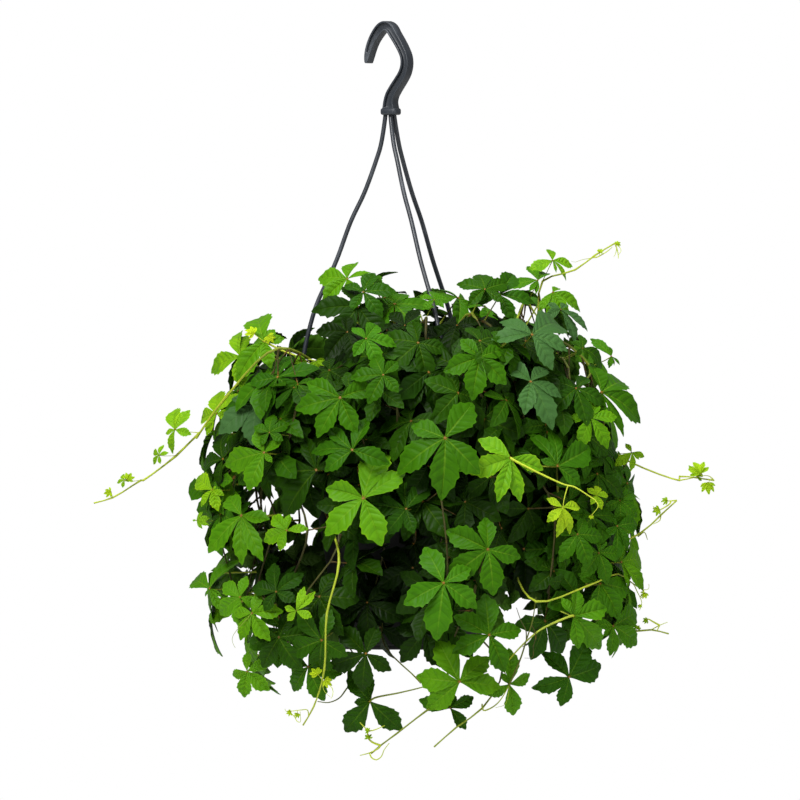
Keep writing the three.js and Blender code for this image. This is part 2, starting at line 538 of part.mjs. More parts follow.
// The outline of the five leaflets in the blade's own plane: along, across. A leaf out in the light
// has its tooth on both sides of a leaflet, a shaded one on the right alone. Leaflets that stand
// close together are narrower, so that a notch is left between them.
function bladeOutline(frame) {
  const { length, light } = frame;
  const right = length < SMALL_LEAF ? SIDE_PLAIN : SIDE_CUT;
  const left = light > SHADED ? right : SIDE_PLAIN;
  const leaflets = leafletsOf(frame);
  const gaps = leaflets.map(([turn], i) => (leaflets[(i + 1) % leaflets.length][0] - turn + 360) % 360);
  const outline = [];
  leaflets.forEach(([turn, reach], i) => {
    const before = gaps[(i + leaflets.length - 1) % leaflets.length];
    const narrowed = ([a, b], gap) => {
      const half = gap / 2 - SLIT;
      return [a, half < FULL_HALF ? Math.min(b, a * Math.tan(radians(half))) : b];
    };
    const leaflet = [
      ...right.map((point) => narrowed(point, before)).map(([a, b]) => [a, -b]),
      [1, 0],
      ...left.toReversed().map((point) => narrowed(point, gaps[i])),
    ];
    const [c, s] = [Math.cos(radians(turn)), Math.sin(radians(turn))];
    for (const [a, b] of leaflet) outline.push([(a * c - b * s) * reach, (a * s + b * c) * reach]);
    const between = radians(turn + gaps[i] / 2);
    const dip = (gaps[i] > WIDE_GAP ? SINUS : NOTCH) * length;
    outline.push([dip * Math.cos(between), dip * Math.sin(between)]);
  });
  return outline;
}

// A blade, thick at its hub and thin at its edge, with its stalk run down to the stem.
function leafSolid(frame, foot) {
  const { hub, normal, along, across, length } = frame;
  const place = (a, b, c) => add(add(add(hub, along, a), across, b), normal, c);
  const outline = bladeOutline(frame);
  const count = outline.length;
  const points = [place(0, 0, BLADE.above)];
  for (const [a, b] of outline) points.push(place(a, b, -BLADE.droop * (a * a + b * b) / length));
  const ring = count + 1;
  const end = ring + 3;
  const throat = place(0, 0, -BLADE.below);
  const run = unit(add(foot, throat, -1));
  const spokes = [-120, 0, 120].map((angle) => swung(along, across, angle));
  for (const spoke of spokes) points.push(add(throat, spoke, PETIOLE.radius));
  for (const spoke of spokes) {
    points.push(add(foot, unit(add(spoke, run, -dot(spoke, run))), PETIOLE.end));
  }
  const nearest = ([a, b]) => (Math.round(Math.atan2(b, a) * 1.5 / Math.PI) + 4) % 3;
  const spokeOf = outline.map((point, i) => {
    const next = outline[(i + 1) % count];
    return nearest([(point[0] + next[0]) / 2, (point[1] + next[1]) / 2]);
  });
  const faces = [];
  for (let i = 0; i < count; i += 1) {
    const [here, next] = [1 + i, 1 + (i + 1) % count];
    const [before, spoke] = [spokeOf[(i + count - 1) % count], spokeOf[i]];
    faces.push(0, here, next, next, here, ring + spoke);
    if (before !== spoke) faces.push(here, ring + before, ring + spoke);
  }
  for (let k = 0; k < 3; k += 1) {
    const next = (k + 1) % 3;
    faces.push(ring + next, ring + k, end + k, ring + next, end + k, end + next);
  }
  faces.push(end, end + 2, end + 1);
  return meshSolid(points.flat(), faces);
}

// Stems
function spline(p0, p1, p2, p3, t) {
  return p1.map((value, i) => 0.5 * (2 * value + (p2[i] - p0[i]) * t
    + (2 * p0[i] - 5 * value + 4 * p2[i] - p3[i]) * t * t
    + (3 * value - p0[i] - 3 * p2[i] + p3[i]) * t * t * t));
}

function stalkLength(leaf) {
  return PETIOLE.least + PETIOLE.share * leaf.length;
}

function rootReach(height) {
  const share = (ROOT_RING.high - height) / (ROOT_RING.high - ROOT_RING.low);
  return mix(ROOT_RING.inner, ROOT_RING.outer, Math.max(0, Math.min(1, share)));
}

// A stem rises from the soil, arches over and passes behind each of its leaves in turn.
function makeStem(name, leaves, reach) {
  const nodes = leaves.map((leaf, i) => {
    const zigzag = leaf.length > 0 ? (i % 2 ? ZIGZAG : -ZIGZAG) : 0;
    const side = unit([-leaf.out[1], leaf.out[0], 0]);
    const inward = leaf.length > 0 ? -stalkLength(leaf) : 0;
    return add(add(leaf.hub, leaf.out, inward), side, zigzag);
  });
  const angle = Math.atan2(nodes[0][1], nodes[0][0] - POT_X);
  const foot = [POT_X + reach * Math.cos(angle), reach * Math.sin(angle)];
  const root = [...foot, SOIL_TOP - ROOT_DEPTH];
  const sprout = [...foot, SOIL_TOP + SPROUT];
  const [x, y, z] = nodes[0];
  const arch = [mix(foot[0], x, ARCH.out), mix(foot[1], y, ARCH.out), mix(sprout[2], z, ARCH.up)];
  const bends = [sprout, arch, ...nodes];
  const points = [root, sprout];
  const last = bends.length - 1;
  for (let i = 0; i < last; i += 1) {
    const before = i === 0 ? root : bends[i - 1];
    const after = i + 1 === last ? add(bends[last], add(bends[last], bends[last - 1], -1)) : bends[i + 2];
    if (distance(bends[i], bends[i + 1]) > LONG_SPAN) {
      points.push(spline(before, bends[i], bends[i + 1], after, 0.5));
    }
    points.push(bends[i + 1]);
  }
  const carried = leaves.map((leaf, i) => ({ ...leaf, foot: nodes[i] }));
  return { name, points, leaves: carried.filter((leaf) => leaf.length > 0) };
}

function frontStems() {
  return FRONT_STEMS.map((rows, i) => {
    const key = 100 * (i + 1);
    const leaves = rows.map((row, j) => frontLeaf(row, key + j, FINGERS[`${i + 1}.${j + 1}`]));
    return makeStem(`front_stem_${String(i + 1).padStart(2, '0')}`, leaves, rootReach(leaves[0].hub[2]));
  });
}

function backStems() {
  return Array.from({ length: BACK.count }, (_, i) => {
    const key = BACK.key + 100 * i;
    const leaves = Array.from({ length: BACK.leaves }, (__, j) => {
      const side = j % 2 ? 1 : -1;
      const sway = BACK.sway * (side + noise(key + j) - 0.5);
      const angle = radians(BACK.first + BACK.step * i + sway);
      const top = BACK.top + BACK.tilt * Math.cos(angle);
      const drop = BACK.drop + BACK.spare * Math.abs(Math.cos(angle));
      const fall = drop * (j + 0.5 * (i % 2)) - BACK.scatter * (noise(key + j + 0.5) - 0.5);
      const depth = BACK.depth - BACK.layers * noise(key + j + 0.7);
      const length = mix(...BACK.length, noise(key + j + 0.9));
      const swing = side * BACK.swing * noise(key + j + 0.6);
      return ruledLeaf(angle, top - fall, depth, length, swing, key + j);
    });
    return makeStem(`back_stem_${String(i + 1).padStart(2, '0')}`, leaves, rootReach(leaves[0].hub[2]));
  });
}

function crownStems() {
  return Array.from({ length: CROWN.count }, (_, i) => {
    const key = CROWN.key + 100 * i;
    const turn = radians(CROWN.first + CROWN.step * i);
    const leaves = Array.from({ length: CROWN.leaves }, (__, j) => {
      const angle = turn + CROWN.turn * (j - 1);
      const depth = CROWN.depth + CROWN.spread * j;
      const length = mix(...CROWN.length, noise(key + j));
      return ruledLeaf(angle, CROWN.top - CROWN.drop * j, depth, length, CROWN.swing * (j - 1), key + j);
    });
    return makeStem(`crown_stem_${i + 1}`, leaves, CROWN_ROOT);
  });
}

function boxesApart(box, other) {
  return [0, 1, 2].some((k) => box.min[k] > other.max[k] + 1 || other.min[k] > box.max[k] + 1);
}

// Places every leaf clear of all that stands already, the outermost leaves first. A leaf that no
// try clears is left off its stem.
function dressStems(stems, fixed) {
  const standing = fixed.map((solid) => ({ solid, box: solid.boundingBox() }));
  for (const stem of stems) {
    stem.tube = tube(stem.points, STEM_RADIUS, STEM_SIDES);
    stem.solids = [stem.tube];
    standing.push({ solid: stem.tube, box: stem.tube.boundingBox() });
  }
  const order = stems.flatMap((stem) => stem.leaves.map((leaf) => ({ stem, leaf })));
  order.sort((a, b) => b.leaf.light - a.leaf.light);
  for (const { stem, leaf } of order) {
    const others = standing.filter(({ solid }) => solid !== stem.tube);
    for (const attempt of TRIES) {
      const solid = leafSolid(leafFrame(leaf, attempt), leaf.foot);
      const box = solid.boundingBox();
      const near = others.filter((other) => !boxesApart(box, other.box));
      if (near.every((other) => solid.minGap(other.solid, 2 * CLEARANCE) >= CLEARANCE)) {
        standing.push({ solid, box });
        stem.solids.push(solid);
        break;
      }
    }
  }
}

const MATERIALS = {
  hanger: { color: 0x2a3138, roughness: 0.5, metalness: 0 },
  pot: { color: 0x101112, roughness: 0.45, metalness: 0 },
  soil: { color: 0x2d2019, roughness: 0.95, metalness: 0 },
  foliage: { color: 0x3c8a22, roughness: 0.55, metalness: 0 },
};

function named(name, solid, finish) {
  const mesh = new THREE.Mesh(toGeometry(solid), new THREE.MeshStandardMaterial(MATERIALS[finish]));
  mesh.name = name;
  return mesh;
}

const stems = [...frontStems(), ...backStems(), ...crownStems()];
const hanger = makeHanger();
const pot = makePot();
const soil = makeSoil(stems);
dressStems(stems, [hanger, pot, soil]);

const plant = new THREE.Group();
plant.add(named('hanger', hanger, 'hanger'));
plant.add(named('pot', pot, 'pot'));
plant.add(named('soil', soil, 'soil'));
for (const stem of stems) {
  plant.add(named(stem.name, Manifold.union(stem.solids), 'foliage'));
}

export default plant;
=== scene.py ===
# A miniature grape ivy in a hanging pot: a black plastic pot on a one-piece moulded hanger, filled
# with soil and grown over by a dense mound of leafy stems. The sizes below are in millimetres.

import math
import bmesh
import bpy
from mathutils import Matrix, Vector, kdtree, noise


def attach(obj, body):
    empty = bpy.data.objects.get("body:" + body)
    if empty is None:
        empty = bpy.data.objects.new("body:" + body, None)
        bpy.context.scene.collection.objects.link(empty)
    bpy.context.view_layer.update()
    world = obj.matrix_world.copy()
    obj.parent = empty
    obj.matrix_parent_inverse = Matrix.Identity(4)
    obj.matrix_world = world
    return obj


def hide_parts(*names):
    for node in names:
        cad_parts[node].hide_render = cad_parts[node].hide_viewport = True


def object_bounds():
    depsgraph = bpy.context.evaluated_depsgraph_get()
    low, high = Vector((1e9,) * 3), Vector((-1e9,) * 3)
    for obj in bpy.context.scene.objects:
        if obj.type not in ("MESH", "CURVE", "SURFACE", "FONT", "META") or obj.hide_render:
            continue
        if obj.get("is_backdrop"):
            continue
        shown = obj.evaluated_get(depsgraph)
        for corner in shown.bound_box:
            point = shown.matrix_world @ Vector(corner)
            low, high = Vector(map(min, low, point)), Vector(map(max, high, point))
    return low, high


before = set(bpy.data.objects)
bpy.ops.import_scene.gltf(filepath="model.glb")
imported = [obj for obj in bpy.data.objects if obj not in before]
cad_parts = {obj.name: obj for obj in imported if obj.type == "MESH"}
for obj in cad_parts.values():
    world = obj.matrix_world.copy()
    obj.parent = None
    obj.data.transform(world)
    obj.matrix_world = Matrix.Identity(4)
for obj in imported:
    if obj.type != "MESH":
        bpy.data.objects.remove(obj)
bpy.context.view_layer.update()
MM = 0.001                   # in metres

# The room: a plain pale floor well below the plant, a bright even sky and three soft lamps.
# The camera stands far off at the plant's height, as the long lens of the photograph does.
PIXEL = 0.75                 # one pixel of the photograph at the plant
SEAT = (386, 31)             # the pixel of the hook's seat
PICTURE = 800                # its width and height in pixels
SENSOR = 36
CAMERA_DISTANCE = 20000
LEAF_PLANE = 40              # the plane that a pixel is measured in, this far in front of the seat
SKY_LIGHT = 0.26             # how brightly the sky lights the plant; the camera sees it as plain white
FLOOR_LEVEL = -900
FLOOR_RADIUS = 4000
PLANT_MIDDLE = (20, 0, -330)
LAMPS = {                    # place, width and power of each
    "key_lamp": ((-900, -1700, 1000), 900, 62),
    "top_lamp": ((100, -500, 1500), 1300, 34),
    "side_lamp": ((1700, -1300, 100), 1200, 12)}

scene = bpy.context.scene
camera = bpy.data.objects.new("camera", bpy.data.cameras.new("camera"))
camera.location = Vector((
    (PICTURE / 2 - SEAT[0]) * PIXEL, -CAMERA_DISTANCE, (SEAT[1] - PICTURE / 2) * PIXEL)) * MM
camera.rotation_euler = (math.radians(90), 0, 0)
camera.data.sensor_width = SENSOR
camera.data.lens = SENSOR * (CAMERA_DISTANCE - LEAF_PLANE) / (PICTURE * PIXEL)
scene.collection.objects.link(camera)
scene.camera = camera
scene.view_settings.view_transform = "Standard"


def add_node(tree, kind, settings=None, **inputs):
    """A node with its settings and inputs; an input's name has _ for a space, and a socket links."""
    node = tree.nodes.new(kind)
    for name, value in (settings or {}).items():
        setattr(node, name, value)
    for name, value in inputs.items():
        fill_socket(tree, node.inputs[name.replace("_", " ")], value)
    return node


def fill_socket(tree, socket, value):
    if isinstance(value, bpy.types.NodeSocket):
        tree.links.new(value, socket)
    else:
        socket.default_value = value


def maths(tree, operation, *values, clamp=False):
    node = tree.nodes.new("ShaderNodeMath")
    node.operation = operation
    node.use_clamp = clamp
    for socket, value in zip(node.inputs, values):
        fill_socket(tree, socket, value)
    return node.outputs[0]


def blend_colours(tree, share, first, second, kind="MIX"):
    """Two colours blended; each is red, green and blue, or a socket."""
    node = add_node(tree, "ShaderNodeMix", {"data_type": "RGBA", "blend_type": kind})
    fill_socket(tree, node.inputs[0], share)
    for place, colour in ((6, first), (7, second)):
        fill_socket(tree, node.inputs[place], (*colour, 1) if isinstance(colour, tuple) else colour)
    return node.outputs[2]


def new_material(name):
    material = bpy.data.materials.new(name)
    material.use_nodes = True
    material.node_tree.nodes.clear()
    return material, material.node_tree


def close_material(tree, **surface):
    shader = add_node(tree, "ShaderNodeBsdfPrincipled", **surface)
    add_node(tree, "ShaderNodeOutputMaterial", Surface=shader.outputs[0])


for name, (place, width, watts) in LAMPS.items():
    lamp = bpy.data.objects.new(name, bpy.data.lights.new(name, "AREA"))
    lamp.data.size = width * MM
    lamp.data.energy = watts
    lamp.location = Vector(place) * MM
    lamp.rotation_euler = (Vector(PLANT_MIDDLE) - Vector(place)).to_track_quat("-Z", "Y").to_euler()
    scene.collection.objects.link(lamp)
world = bpy.data.worlds.new("pale_room")
world.use_nodes = True
sky = world.node_tree.nodes["Background"]
sky.inputs["Color"].default_value = (1, 1, 1, 1)
seen = add_node(world.node_tree, "ShaderNodeLightPath").outputs["Is Camera Ray"]
fill_socket(
    world.node_tree, sky.inputs["Strength"],
    maths(world.node_tree, "MULTIPLY_ADD", seen, 1 - SKY_LIGHT, SKY_LIGHT))
scene.world = world

floor_form = bmesh.new()
bmesh.ops.create_circle(floor_form, cap_ends=True, segments=96, radius=FLOOR_RADIUS * MM)
bmesh.ops.translate(floor_form, vec=(0, 0, FLOOR_LEVEL * MM), verts=floor_form.verts)
floor = bpy.data.objects.new("floor", bpy.data.meshes.new("floor"))
floor_form.to_mesh(floor.data)
scene.collection.objects.link(floor)
floor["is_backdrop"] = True
floor_finish, tree = new_material("pale_floor")
patches = add_node(tree, "ShaderNodeTexNoise", Scale=3.0, Detail=4.0).outputs[0]
close_material(
    tree, Base_Color=blend_colours(tree, patches, (0.80, 0.80, 0.79), (0.84, 0.84, 0.83)), Roughness=0.9)
floor.data.materials.append(floor_finish)

# The hanger: hook, collar and three strands moulded in one piece of slate-black plastic. The hook
# has an edge left round a moulded pocket on both faces, and each strand ends in a barb that snaps
# through a lug of the pot's rim.
POT_X = 18
RIM_TOP = -346.5
HOOK_TURN = 30
HOOK_THICKNESS = 9.4
HOOK_RIM = 1.5
HOOK_EDGE = 0.45             # how far its edges are rounded
HOOK_STEP = 0.7
HOOK_ROWS = 72
POCKET_DEPTH = 2.6
POCKET_SPAN = (0.08, 0.98)   # where the pocket starts and ends, as shares of the hook's length
COLLAR = (13.2, 11, 5.2)
COLLAR_CORNER = 2.2
COLLAR_EDGE = 1.7
COLLAR_MIDDLE = 4.1
COLLAR_BASE = -62.6
STRAND_TOP = (3.75, -63)     # across and up
STRAND_RADIUS = 1.7
STRAND_SIDES = 12
STRAND_STEP = 5
STRAND_ANGLES = (176, 56, -64)
STRAND_ASIDE = (-2.7, 1.6, -1)   # how far each strand leaves the collar beside its axis
STRAND_BOW = (0, 0, -3.8)    # how far each one bows out to the left or right
ASIDE_END = 30
BOW_END = 200
LUG_THICKNESS = 2.6
LUG_HOLE_RING = 80
BARB_SIDES = 20
MOULDED_SHARP = 35
BARB = [                     # distance below the lug, radius
    (0.3, 3.9), (0.7, 4.3), (1.9, 4.3), (6.4, 1.9), (7, 1.2)]
HOOK_LINE = [                # across, up, half the width, from the tip
    (-15, -23.6, 1), (-14.8, -21.4, 1.7), (-14, -17, 2.4), (-12.4, -11.5, 2.8), (-10, -6.2, 3.1),
    (-6.4, -0.8, 3.5), (-2.4, 3.3, 3.7), (1, 4.4, 3.7), (4.7, 2.8, 3.6), (8.2, -2.2, 3.3),
    (11.8, -7.5, 3.2), (15.2, -13.2, 3.1), (17.7, -19, 3.1), (18.1, -25, 3.2), (16.4, -31.2, 3.4),
    (12.4, -37.5, 3.6), (8.4, -43, 3.7), (5.4, -48, 3.8), (4.1, -53, 4.1), (4.1, -58.2, 5)]
STRAND_SWEEP = [             # depth below the collar, distance from the hanger's axis
    (-2, 1.4), (0, 1.5), (22, 8), (33, 12.6), (58, 23), (79, 34), (108, 46.2), (124, 54.1), (142, 63.2),
    (160, 69.5), (179, 74.5), (214, 79.5), (244, 81.5), (268, 81), (281, 80), (291.5, 80)]


def mix(first, second, share):
    return first + (second - first) * share


def clamp(value, low=0.0, high=1.0):
    return max(low, min(high, value))


def smooth_path(points, step):
    """Points no more than a step apart on a smooth curve through those given."""
    points = [Vector(point) for point in points]
    guided = [2 * points[0] - points[1], *points, 2 * points[-1] - points[-2]]
    path = [points[0]]
    for p0, p1, p2, p3 in zip(guided, guided[1:], guided[2:], guided[3:]):
        t1 = math.sqrt((p1 - p0).length)
        t2 = t1 + math.sqrt((p2 - p1).length)
        t3 = t2 + math.sqrt((p3 - p2).length)
        count = math.ceil((p2 - p1).length / step)
        for k in range(1, count + 1):
            t = mix(t1, t2, k / count)
            a1 = p0.lerp(p1, t / t1)
            a2 = p1.lerp(p2, (t - t1) / (t2 - t1))
            a3 = p2.lerp(p3, (t - t2) / (t3 - t2))
            b1 = a1.lerp(a2, t / t2)
            b2 = a2.lerp(a3, (t - t1) / (t3 - t1))
            path.append(b1.lerp(b2, (t - t1) / (t2 - t1)))
    return path


def as_mesh(form, name):
    """The form as a mesh of its own; the form is given up."""
    mesh = bpy.data.meshes.new(name)
    form.to_mesh(mesh)
    form.free()
    return mesh


def from_mesh(mesh):
    """A fresh form, whose later copies are added in order."""
    form = bmesh.new()
    form.from_mesh(mesh)
    return form


rods = {}


def straight_rod(rings, sides):
    """A closed rod of radius 1 with its rings one apart, kept for bending."""
    if (rings, sides) not in rods:
        form = bmesh.new()
        bmesh.ops.create_cone(
            form, cap_ends=True, segments=sides, radius1=1, radius2=1, depth=rings - 1)
        bmesh.ops.translate(form, vec=(0, 0, (rings - 1) / 2), verts=form.verts)
        for level in range(1, rings - 1):
            bmesh.ops.bisect_plane(
                form, geom=form.verts[:] + form.edges[:] + form.faces[:],
                plane_co=(0, 0, level), plane_no=(0, 0, 1))
        rods[rings, sides] = as_mesh(form, "rod")
    return rods[rings, sides]


def add_copy(form, mesh):
    """Adds a copy of a mesh to a form from which nothing was deleted, and returns its corners."""
    before = len(form.verts)
    form.from_mesh(mesh)
    form.verts.ensure_lookup_table()
    return form.verts[before:]


def add_tube(form, path, radii, sides):
    """Bends a rod along a path, with a radius for each of its points."""
    corners = add_copy(form, straight_rod(len(path), sides))
    frames = []
    side = Vector((0.31, 0.87, 0.38))
    for k, point in enumerate(path):
        heading = (path[min(k + 1, len(path) - 1)] - path[max(k - 1, 0)]).normalized()
        side = (side - heading * side.dot(heading)).normalized()
        frames.append((side, heading.cross(side)))
    for corner in corners:
        k = round(corner.co.z)
        across, up = frames[k]
        corner.co = path[k] + (across * corner.co.x + up * corner.co.y) * radii[k]
    return corners


def finish_piece(name, form, finishes, node, sharp_from):
    """Turns a form in millimetres into a piece that stands for a part of the frame. Edges that turn
    by sharp_from degrees or more stay sharp."""
    bmesh.ops.scale(form, vec=(MM, MM, MM), verts=form.verts)
    for face in form.faces:
        face.smooth = True
    for edge in form.edges:
        edge.smooth = len(edge.link_faces) == 2 and edge.calc_face_angle(0) < math.radians(sharp_from)
    piece = bpy.data.objects.new(name, bpy.data.meshes.new(name))
    form.to_mesh(piece.data)
    form.free()
    scene.collection.objects.link(piece)
    for finish in finishes:
        piece.data.materials.append(finish)
    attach(piece, "root")
    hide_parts(node)
    return piece


def steps(tree, value, low, high, to_low=0.0, to_high=1.0):
    """A value that climbs smoothly from to_low to to_high while the input goes from low to high."""
    node = add_node(tree, "ShaderNodeMapRange", {"interpolation_type": "SMOOTHSTEP"})
    for place, number in enumerate((value, low, high, to_low, to_high)):
        fill_socket(tree, node.inputs[place], number)
    return node.outputs[0]


def effect_group(name, inputs, outputs):
    """A shader node group for an effect that several materials use, and its inner sockets by name."""
    group = bpy.data.node_groups.new(name, "ShaderNodeTree")
    for way, sockets in (("INPUT", inputs), ("OUTPUT", outputs)):
        for label, kind in sockets.items():
            group.interface.new_socket(label, in_out=way, socket_type="NodeSocket" + kind)
    return group, group.nodes.new("NodeGroupInput").outputs, group.nodes.new("NodeGroupOutput").inputs


def place_on_piece(tree):
    return add_node(tree, "ShaderNodeTexCoord").outputs["Object"]


def clouds(tree, scale, detail, roughness=0.5):
    """Soft noise that sits on the piece itself."""
    return add_node(
        tree, "ShaderNodeTexNoise", Vector=place_on_piece(tree), Scale=scale, Detail=detail,
        Roughness=roughness).outputs[0]


# A grain that roughens the surface, on plastic, peat and bark alike.
grain, given, made = effect_group(
    "grain",
    {"Scale": "Float", "Detail": "Float", "Roughness": "Float", "Strength": "Float", "Depth": "Float"},
    {"Clouds": "Float", "Normal": "Vector"})
grains = clouds(grain, given["Scale"], given["Detail"], given["Roughness"])
fill_socket(grain, made["Clouds"], grains)
fill_socket(grain, made["Normal"], add_node(
    grain, "ShaderNodeBump", Strength=given["Strength"], Distance=given["Depth"], Height=grains).outputs[0])

# Places on plastic where it is rubbed paler, and slight flow marks in its gloss.
rubbing, given, made = effect_group(
    "rubbing", {"Colour": "Color", "Rubbed Colour": "Color", "Roughness": "Float"},
    {"Base Color": "Color", "Roughness": "Float"})
flow = clouds(rubbing, 38.0, 5.0, 0.6)
fill_socket(rubbing, made["Base Color"], blend_colours(
    rubbing, steps(rubbing, flow, 0.5, 0.72), given["Colour"], given["Rubbed Colour"]))
fill_socket(rubbing, made["Roughness"], steps(
    rubbing, flow, 0.3, 0.7, maths(rubbing, "SUBTRACT", given["Roughness"], 0.07),
    maths(rubbing, "ADD", given["Roughness"], 0.1)))


def place_group(tree, group, **values):
    return add_node(tree, "ShaderNodeGroup", {"node_tree": group}, **values).outputs


def moulded_plastic(name, colour, rubbed_colour, roughness, gloss):
    """Black moulded plastic with a fine grain, slight flow marks and paler rubbed places."""
    material, tree = new_material(name)
    rubbed = place_group(
        tree, rubbing, Colour=(*colour, 1), Rubbed_Colour=(*rubbed_colour, 1), Roughness=roughness)
    fine = place_group(tree, grain, Scale=1900.0, Detail=2.0, Roughness=0.5, Strength=0.25, Depth=0.0002)
    close_material(
        tree, Base_Color=rubbed["Base Color"], Roughness=rubbed["Roughness"], Specular_IOR_Level=gloss,
        Normal=fine["Normal"])
    return material


def extrude_by(form, faces, way):
    """Extrudes faces along a vector; the faces themselves stay where they are."""
    grown = bmesh.ops.extrude_face_region(form, geom=faces, use_keep_orig=True)["geom"]
    moved = [item for item in grown if isinstance(item, bmesh.types.BMVert)]
    bmesh.ops.translate(form, vec=way, verts=moved)


form = bmesh.new()
bmesh.ops.create_grid(form, x_segments=HOOK_ROWS, y_segments=4, size=1)
pocket_mark = form.faces.layers.int.new("pocket")
for face in form.faces:
    middle = face.calc_center_median()
    in_span = POCKET_SPAN[0] < (middle.x + 1) / 2 < POCKET_SPAN[1]
    face[pocket_mark] = int(in_span and abs(middle.y) < 0.5)
centre_line = smooth_path(HOOK_LINE, HOOK_STEP)
for corner in form.verts:
    row = (corner.co.x + 1) / 2 * (len(centre_line) - 1)
    low = min(int(row), len(centre_line) - 2)
    middle = centre_line[low].lerp(centre_line[low + 1], row - low)
    heading = (centre_line[low + 1] - centre_line[low]).xy.normalized()
    stand = (0, middle.z - HOOK_RIM, middle.z)[round(abs(corner.co.y) * 2)]
    stand = math.copysign(stand, corner.co.y)
    corner.co = (middle.x - heading.y * stand, middle.y + heading.x * stand, 0)
extrude_by(form, form.faces[:], (0, 0, HOOK_THICKNESS))
bmesh.ops.translate(form, vec=(0, 0, -HOOK_THICKNESS / 2), verts=form.verts)
bmesh.ops.recalc_face_normals(form, faces=form.faces)
for facing in (1, -1):
    pocket = [face for face in form.faces if face[pocket_mark] and face.normal.z * facing > 0.9]
    extrude_by(form, pocket, (0, 0, -facing * POCKET_DEPTH))
    bmesh.ops.delete(form, geom=pocket, context="FACES")
sharp = [edge for edge in form.edges if edge.calc_face_angle(0) > math.radians(40)]
bmesh.ops.bevel(
    form, geom=sharp, affect="EDGES", offset=HOOK_EDGE, segments=2, profile=0.5, material=-1,
    clamp_overlap=True)
turn = math.radians(HOOK_TURN)
hook_plane = Matrix((
    (math.cos(turn), 0, -math.sin(turn)), (-math.sin(turn), 0, -math.cos(turn)), (0, 1, 0)))
bmesh.ops.transform(form, matrix=hook_plane.to_4x4(), verts=form.verts)


def rounded_block(width, depth, height, corner, edge):
    """A block with round upright corners and softened edges, its middle at the origin."""
    block = bmesh.new()
    bmesh.ops.create_cube(block, size=1)
    bmesh.ops.scale(block, vec=(width, depth, height), verts=block.verts)
    upright = [e for e in block.edges if abs(e.verts[0].co.z - e.verts[1].co.z) > height / 2]
    bmesh.ops.bevel(
        block, geom=upright, affect="EDGES", offset=corner, segments=5, profile=0.5, material=-1)
    sharp = [e for e in block.edges if e.calc_face_angle(0) > math.radians(60)]
    bmesh.ops.bevel(block, geom=sharp, affect="EDGES", offset=edge, segments=4, profile=0.5, material=-1)
    return as_mesh(block, "block")


form = from_mesh(as_mesh(form, "hook"))
collar = add_copy(form, rounded_block(*COLLAR, COLLAR_CORNER, COLLAR_EDGE))
bmesh.ops.translate(form, vec=(COLLAR_MIDDLE, 0, COLLAR_BASE + COLLAR[2] / 2), verts=collar)
bmesh.ops.rotate(form, matrix=Matrix.Rotation(-turn, 3, "Z"), verts=collar)


def strand_bends(angle, aside, bow):
    """The bends of one strand, which leaves the hanger's axis and comes down to its lug."""
    drop = RIM_TOP - STRAND_TOP[1]
    bends = []
    for below, reach in STRAND_SWEEP:
        axis = mix(STRAND_TOP[0], POT_X, clamp(-below / drop)) + aside * clamp(1 - below / ASIDE_END)
        axis += bow * math.sqrt(max(0, math.sin(math.pi * clamp(below / BOW_END))))
        bends.append(Vector((
            axis + reach * math.cos(angle), reach * math.sin(angle), STRAND_TOP[1] - below)))
    return bends


for degrees, aside, bow in zip(STRAND_ANGLES, STRAND_ASIDE, STRAND_BOW):
    angle = math.radians(degrees)
    path = smooth_path(strand_bends(angle, aside, bow), STRAND_STEP)
    add_tube(form, path, [STRAND_RADIUS] * len(path), STRAND_SIDES)
    foot = Vector((POT_X + LUG_HOLE_RING * math.cos(angle), LUG_HOLE_RING * math.sin(angle), RIM_TOP))
    barb = [foot - Vector((0, 0, LUG_THICKNESS + below)) for below, radius in BARB]
    add_tube(form, barb, [radius for below, radius in BARB], BARB_SIDES)

slate = moulded_plastic("slate_plastic", (0.016, 0.020, 0.026), (0.045, 0.052, 0.062), 0.42, 0.45)
finish_piece("one_piece_hanger", form, [slate], "hanger", MOULDED_SHARP)

# The pot: thin black plastic drawn over a mould, with a turned-down rim, a step above its foot and
# five drain holes. Three lugs stand out from the rim, each with a hole for a strand.
RIM_RADIUS = 75
RIM_LIP = 8
POT_HEIGHT = 117.5
BASE_RADIUS = 51
FOOT_STEP = (1.6, 3.6)       # how far the wall steps out above the foot, and at what height
SHOULDER_RADIUS = 71
WALL = 1.6
DRAIN_COUNT = 5
DRAIN_RING = 33
DRAIN_RADIUS = 3.5
LUG_WIDTH = 13
LUG_REACH = 86
LUG_HOLE = 2.7
LUG_SIDES = 24
LUG_SET = 0.02               # how far its top lies below the rim's
DRAIN_SIDES = 20
POT_STEPS = 96

pot_base = RIM_TOP - POT_HEIGHT
foot_top = pot_base + FOOT_STEP[1]


def wall_radius(z):
    share = (z - foot_top) / (RIM_TOP - RIM_LIP - foot_top)
    return mix(BASE_RADIUS + FOOT_STEP[0], SHOULDER_RADIUS, share)


def turned(profile, count, axis_x):
    """A closed shell turned from a profile of radius and height round an upright axis."""
    form = bmesh.new()
    corners = [form.verts.new((radius, 0, z)) for radius, z in profile]
    edges = [form.edges.new(pair) for pair in zip(corners, corners[1:])]
    bmesh.ops.spin(
        form, geom=corners + edges, angle=math.tau, steps=count, use_merge=True,
        axis=(0, 0, 1), cent=(0, 0, 0))
    bmesh.ops.remove_doubles(form, verts=form.verts, dist=0.001)
    bmesh.ops.recalc_face_normals(form, faces=form.faces)
    bmesh.ops.translate(form, vec=(axis_x, 0, 0), verts=form.verts)
    return from_mesh(as_mesh(form, "turned"))


